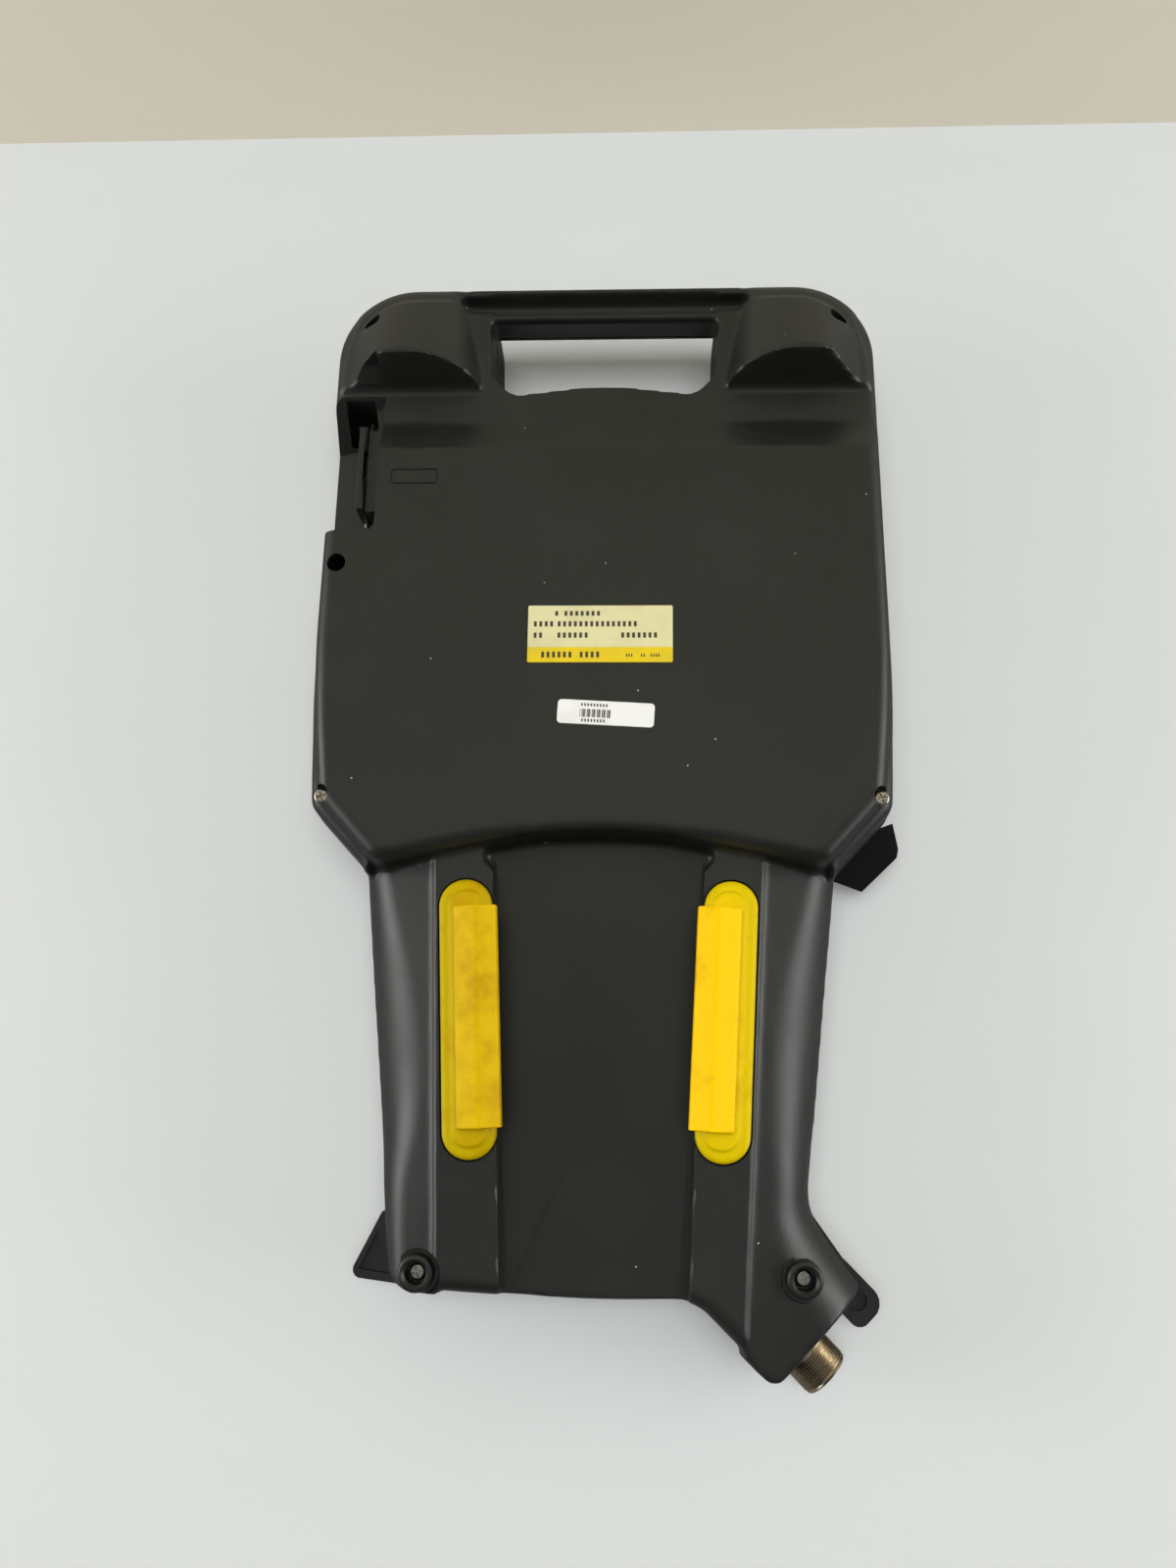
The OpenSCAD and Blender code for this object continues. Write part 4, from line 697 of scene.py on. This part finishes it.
# radius and height of each turned corner: bore edge, collar, groove, nine thread ridges, mouth and bore
TURNED = [(6.35, 1), (9.1, 1), (9.3, 1.2), (9.3, 7.4), (8.8, 7.6), (8.8, 8.1)]
TURNED += [(r, 8.4 + i + a) for i in range(9) for r, a in ((9.3, 0), (9.3, 0.15), (8.75, 0.5), (8.75, 0.62))]
TURNED += [(9.1, 17.6), (8.7, 18.3), (7.9, 18.3), (7.8, 6.3), (6.35, 6.3)]
barrel = outline([(r, a, 0) for r, a in TURNED], 0)
bmesh.ops.delete(barrel, geom=barrel.faces[:], context="FACES_ONLY")
bmesh.ops.spin(barrel, geom=barrel.verts[:] + barrel.edges[:], cent=(0, 0, 0), axis=(0, 1, 0), angle=math.tau,
               steps=96, use_merge=True)
bmesh.ops.recalc_face_normals(barrel, faces=barrel.faces[:])
bmesh.ops.rotate(barrel, cent=(0, 0, 0), matrix=Matrix.Rotation(math.pi / 2, 3, "X"), verts=barrel.verts[:])
barrel = shape("connector_barrel", barrel)
SQUARE = [(-11.4, 11.4, 3), (11.4, 11.4, 3), (11.4, -11.4, 3), (-11.4, -11.4, 3)]
flange = shape("flange", prism(SQUARE, 0.9, 3.3, edge=0.4, roll=3, segments=6))
combine(flange, post(0, 0, 0, 5, 9), "DIFFERENCE")
for x, y in ((-8.7, -8.7), (8.7, -8.7), (8.7, 8.7), (-8.7, 8.7)):
    combine(flange, post(x, y, 0, 5, 1.8), "DIFFERENCE")
combine(barrel, taken(flange), "UNION")
x, y = diagonal(186.7, -88.7)
half_right = 0.70711
barrel.data.transform(Matrix(((half_right, 0, half_right, x * MM), (half_right, 0, -half_right, y * MM),
                              (0, 1, 0, 18 * MM), (0, 0, 0, 1))))
finished(barrel, nickel, "root", ["connector_shell"])
crisp(barrel)

# ---------------------------------------------------------------- Other parts
# The solids that already have their real shape keep it and get the finish of their material.


def plain(name, code, roughness, grain=2.0):
    """Moulded or coated surface with a faint unevenness."""
    made, tree, shader = material(name, code, roughness)
    place = add(tree, "ShaderNodeTexCoord").outputs["Object"]
    noise = add(tree, "ShaderNodeTexNoise", {"Vector": place}, {"Scale": 1 / (grain * MM), "Detail": 3.0})
    gloss = add(tree, "ShaderNodeMapRange", {"Value": noise.outputs["Fac"]},
                {"To Min": roughness - 0.06, "To Max": roughness + 0.08})
    tree.links.new(gloss.outputs[0], shader.inputs["Roughness"])
    bump = add(tree, "ShaderNodeBump", {"Height": noise.outputs["Fac"]}, {"Strength": 0.1, "Distance": 0.0001})
    tree.links.new(bump.outputs[0], shader.inputs["Normal"])
    return made


rubber = plain("black_rubber", "#151617", 0.6)
nylon = plain("white_nylon", "#E6E6E0", 0.45)
laminate = plain("green_circuit_laminate", "#1F6A3C", 0.35)
red = plain("red_polyamide", "#C4141C", 0.35)
yellow = plain("yellow_abs", "#E8B80A", 0.4)
blue = plain("blue_switch_housing", "#2C5FA8", 0.45)
film = plain("grey_polyester_film", "#2C3138", 0.5)
knob = plain("black_knob", "#1A1A1B", 0.4)
webbing = plain("black_webbing", "#050505", 0.95, grain=0.6)
clear = plain("clear_acrylic", "#22282C", 0.08)
glass = plain("lcd_glass", "#1B2226", 0.12)
FINISHES = {
    black_abs: ["front_cover", "estop_stem", "estop_body", "selector_body", "buzzer", "connector_insert"],
    rubber: ["case_seal", "window_seal", "connector_gasket"],
    zinc: ["bracket_screws", "board_screws", "connector_screws"],
    brass: ["thread_inserts", "connector_pins", "board_spacers"],
    tin: ["usb_flap_pin", "usb_socket", "lcd_frame", "estop_nut", "selector_nut", "lever_pin_left", "lever_pin_right",
          "lever_spring_left", "lever_spring_right", "switch_bracket_left", "switch_bracket_right", "strap_rivets",
          "selector_shaft"],
    laminate: ["usb_board", "keypad_circuit", "main_board", "backlight_inverter"],
    clear: ["display_window"],
    glass: ["lcd_panel"],
    nylon: ["backlight", "board_connectors", "selector_switch", "estop_contacts", "switch_plunger_left",
            "switch_plunger_right"],
    film: ["keypad_overlay"],
    red: ["estop_head"],
    yellow: ["estop_collar"],
    knob: ["selector_knob", "selector_plate"],
    blue: ["enable_switch_left", "enable_switch_right"],
    alloy: ["heat_spreader"],
    webbing: ["hand_strap"],
}
for made, names in FINISHES.items():
    for name in names:
        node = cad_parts[name]
        for slot in node.material_slots:
            slot.material = made
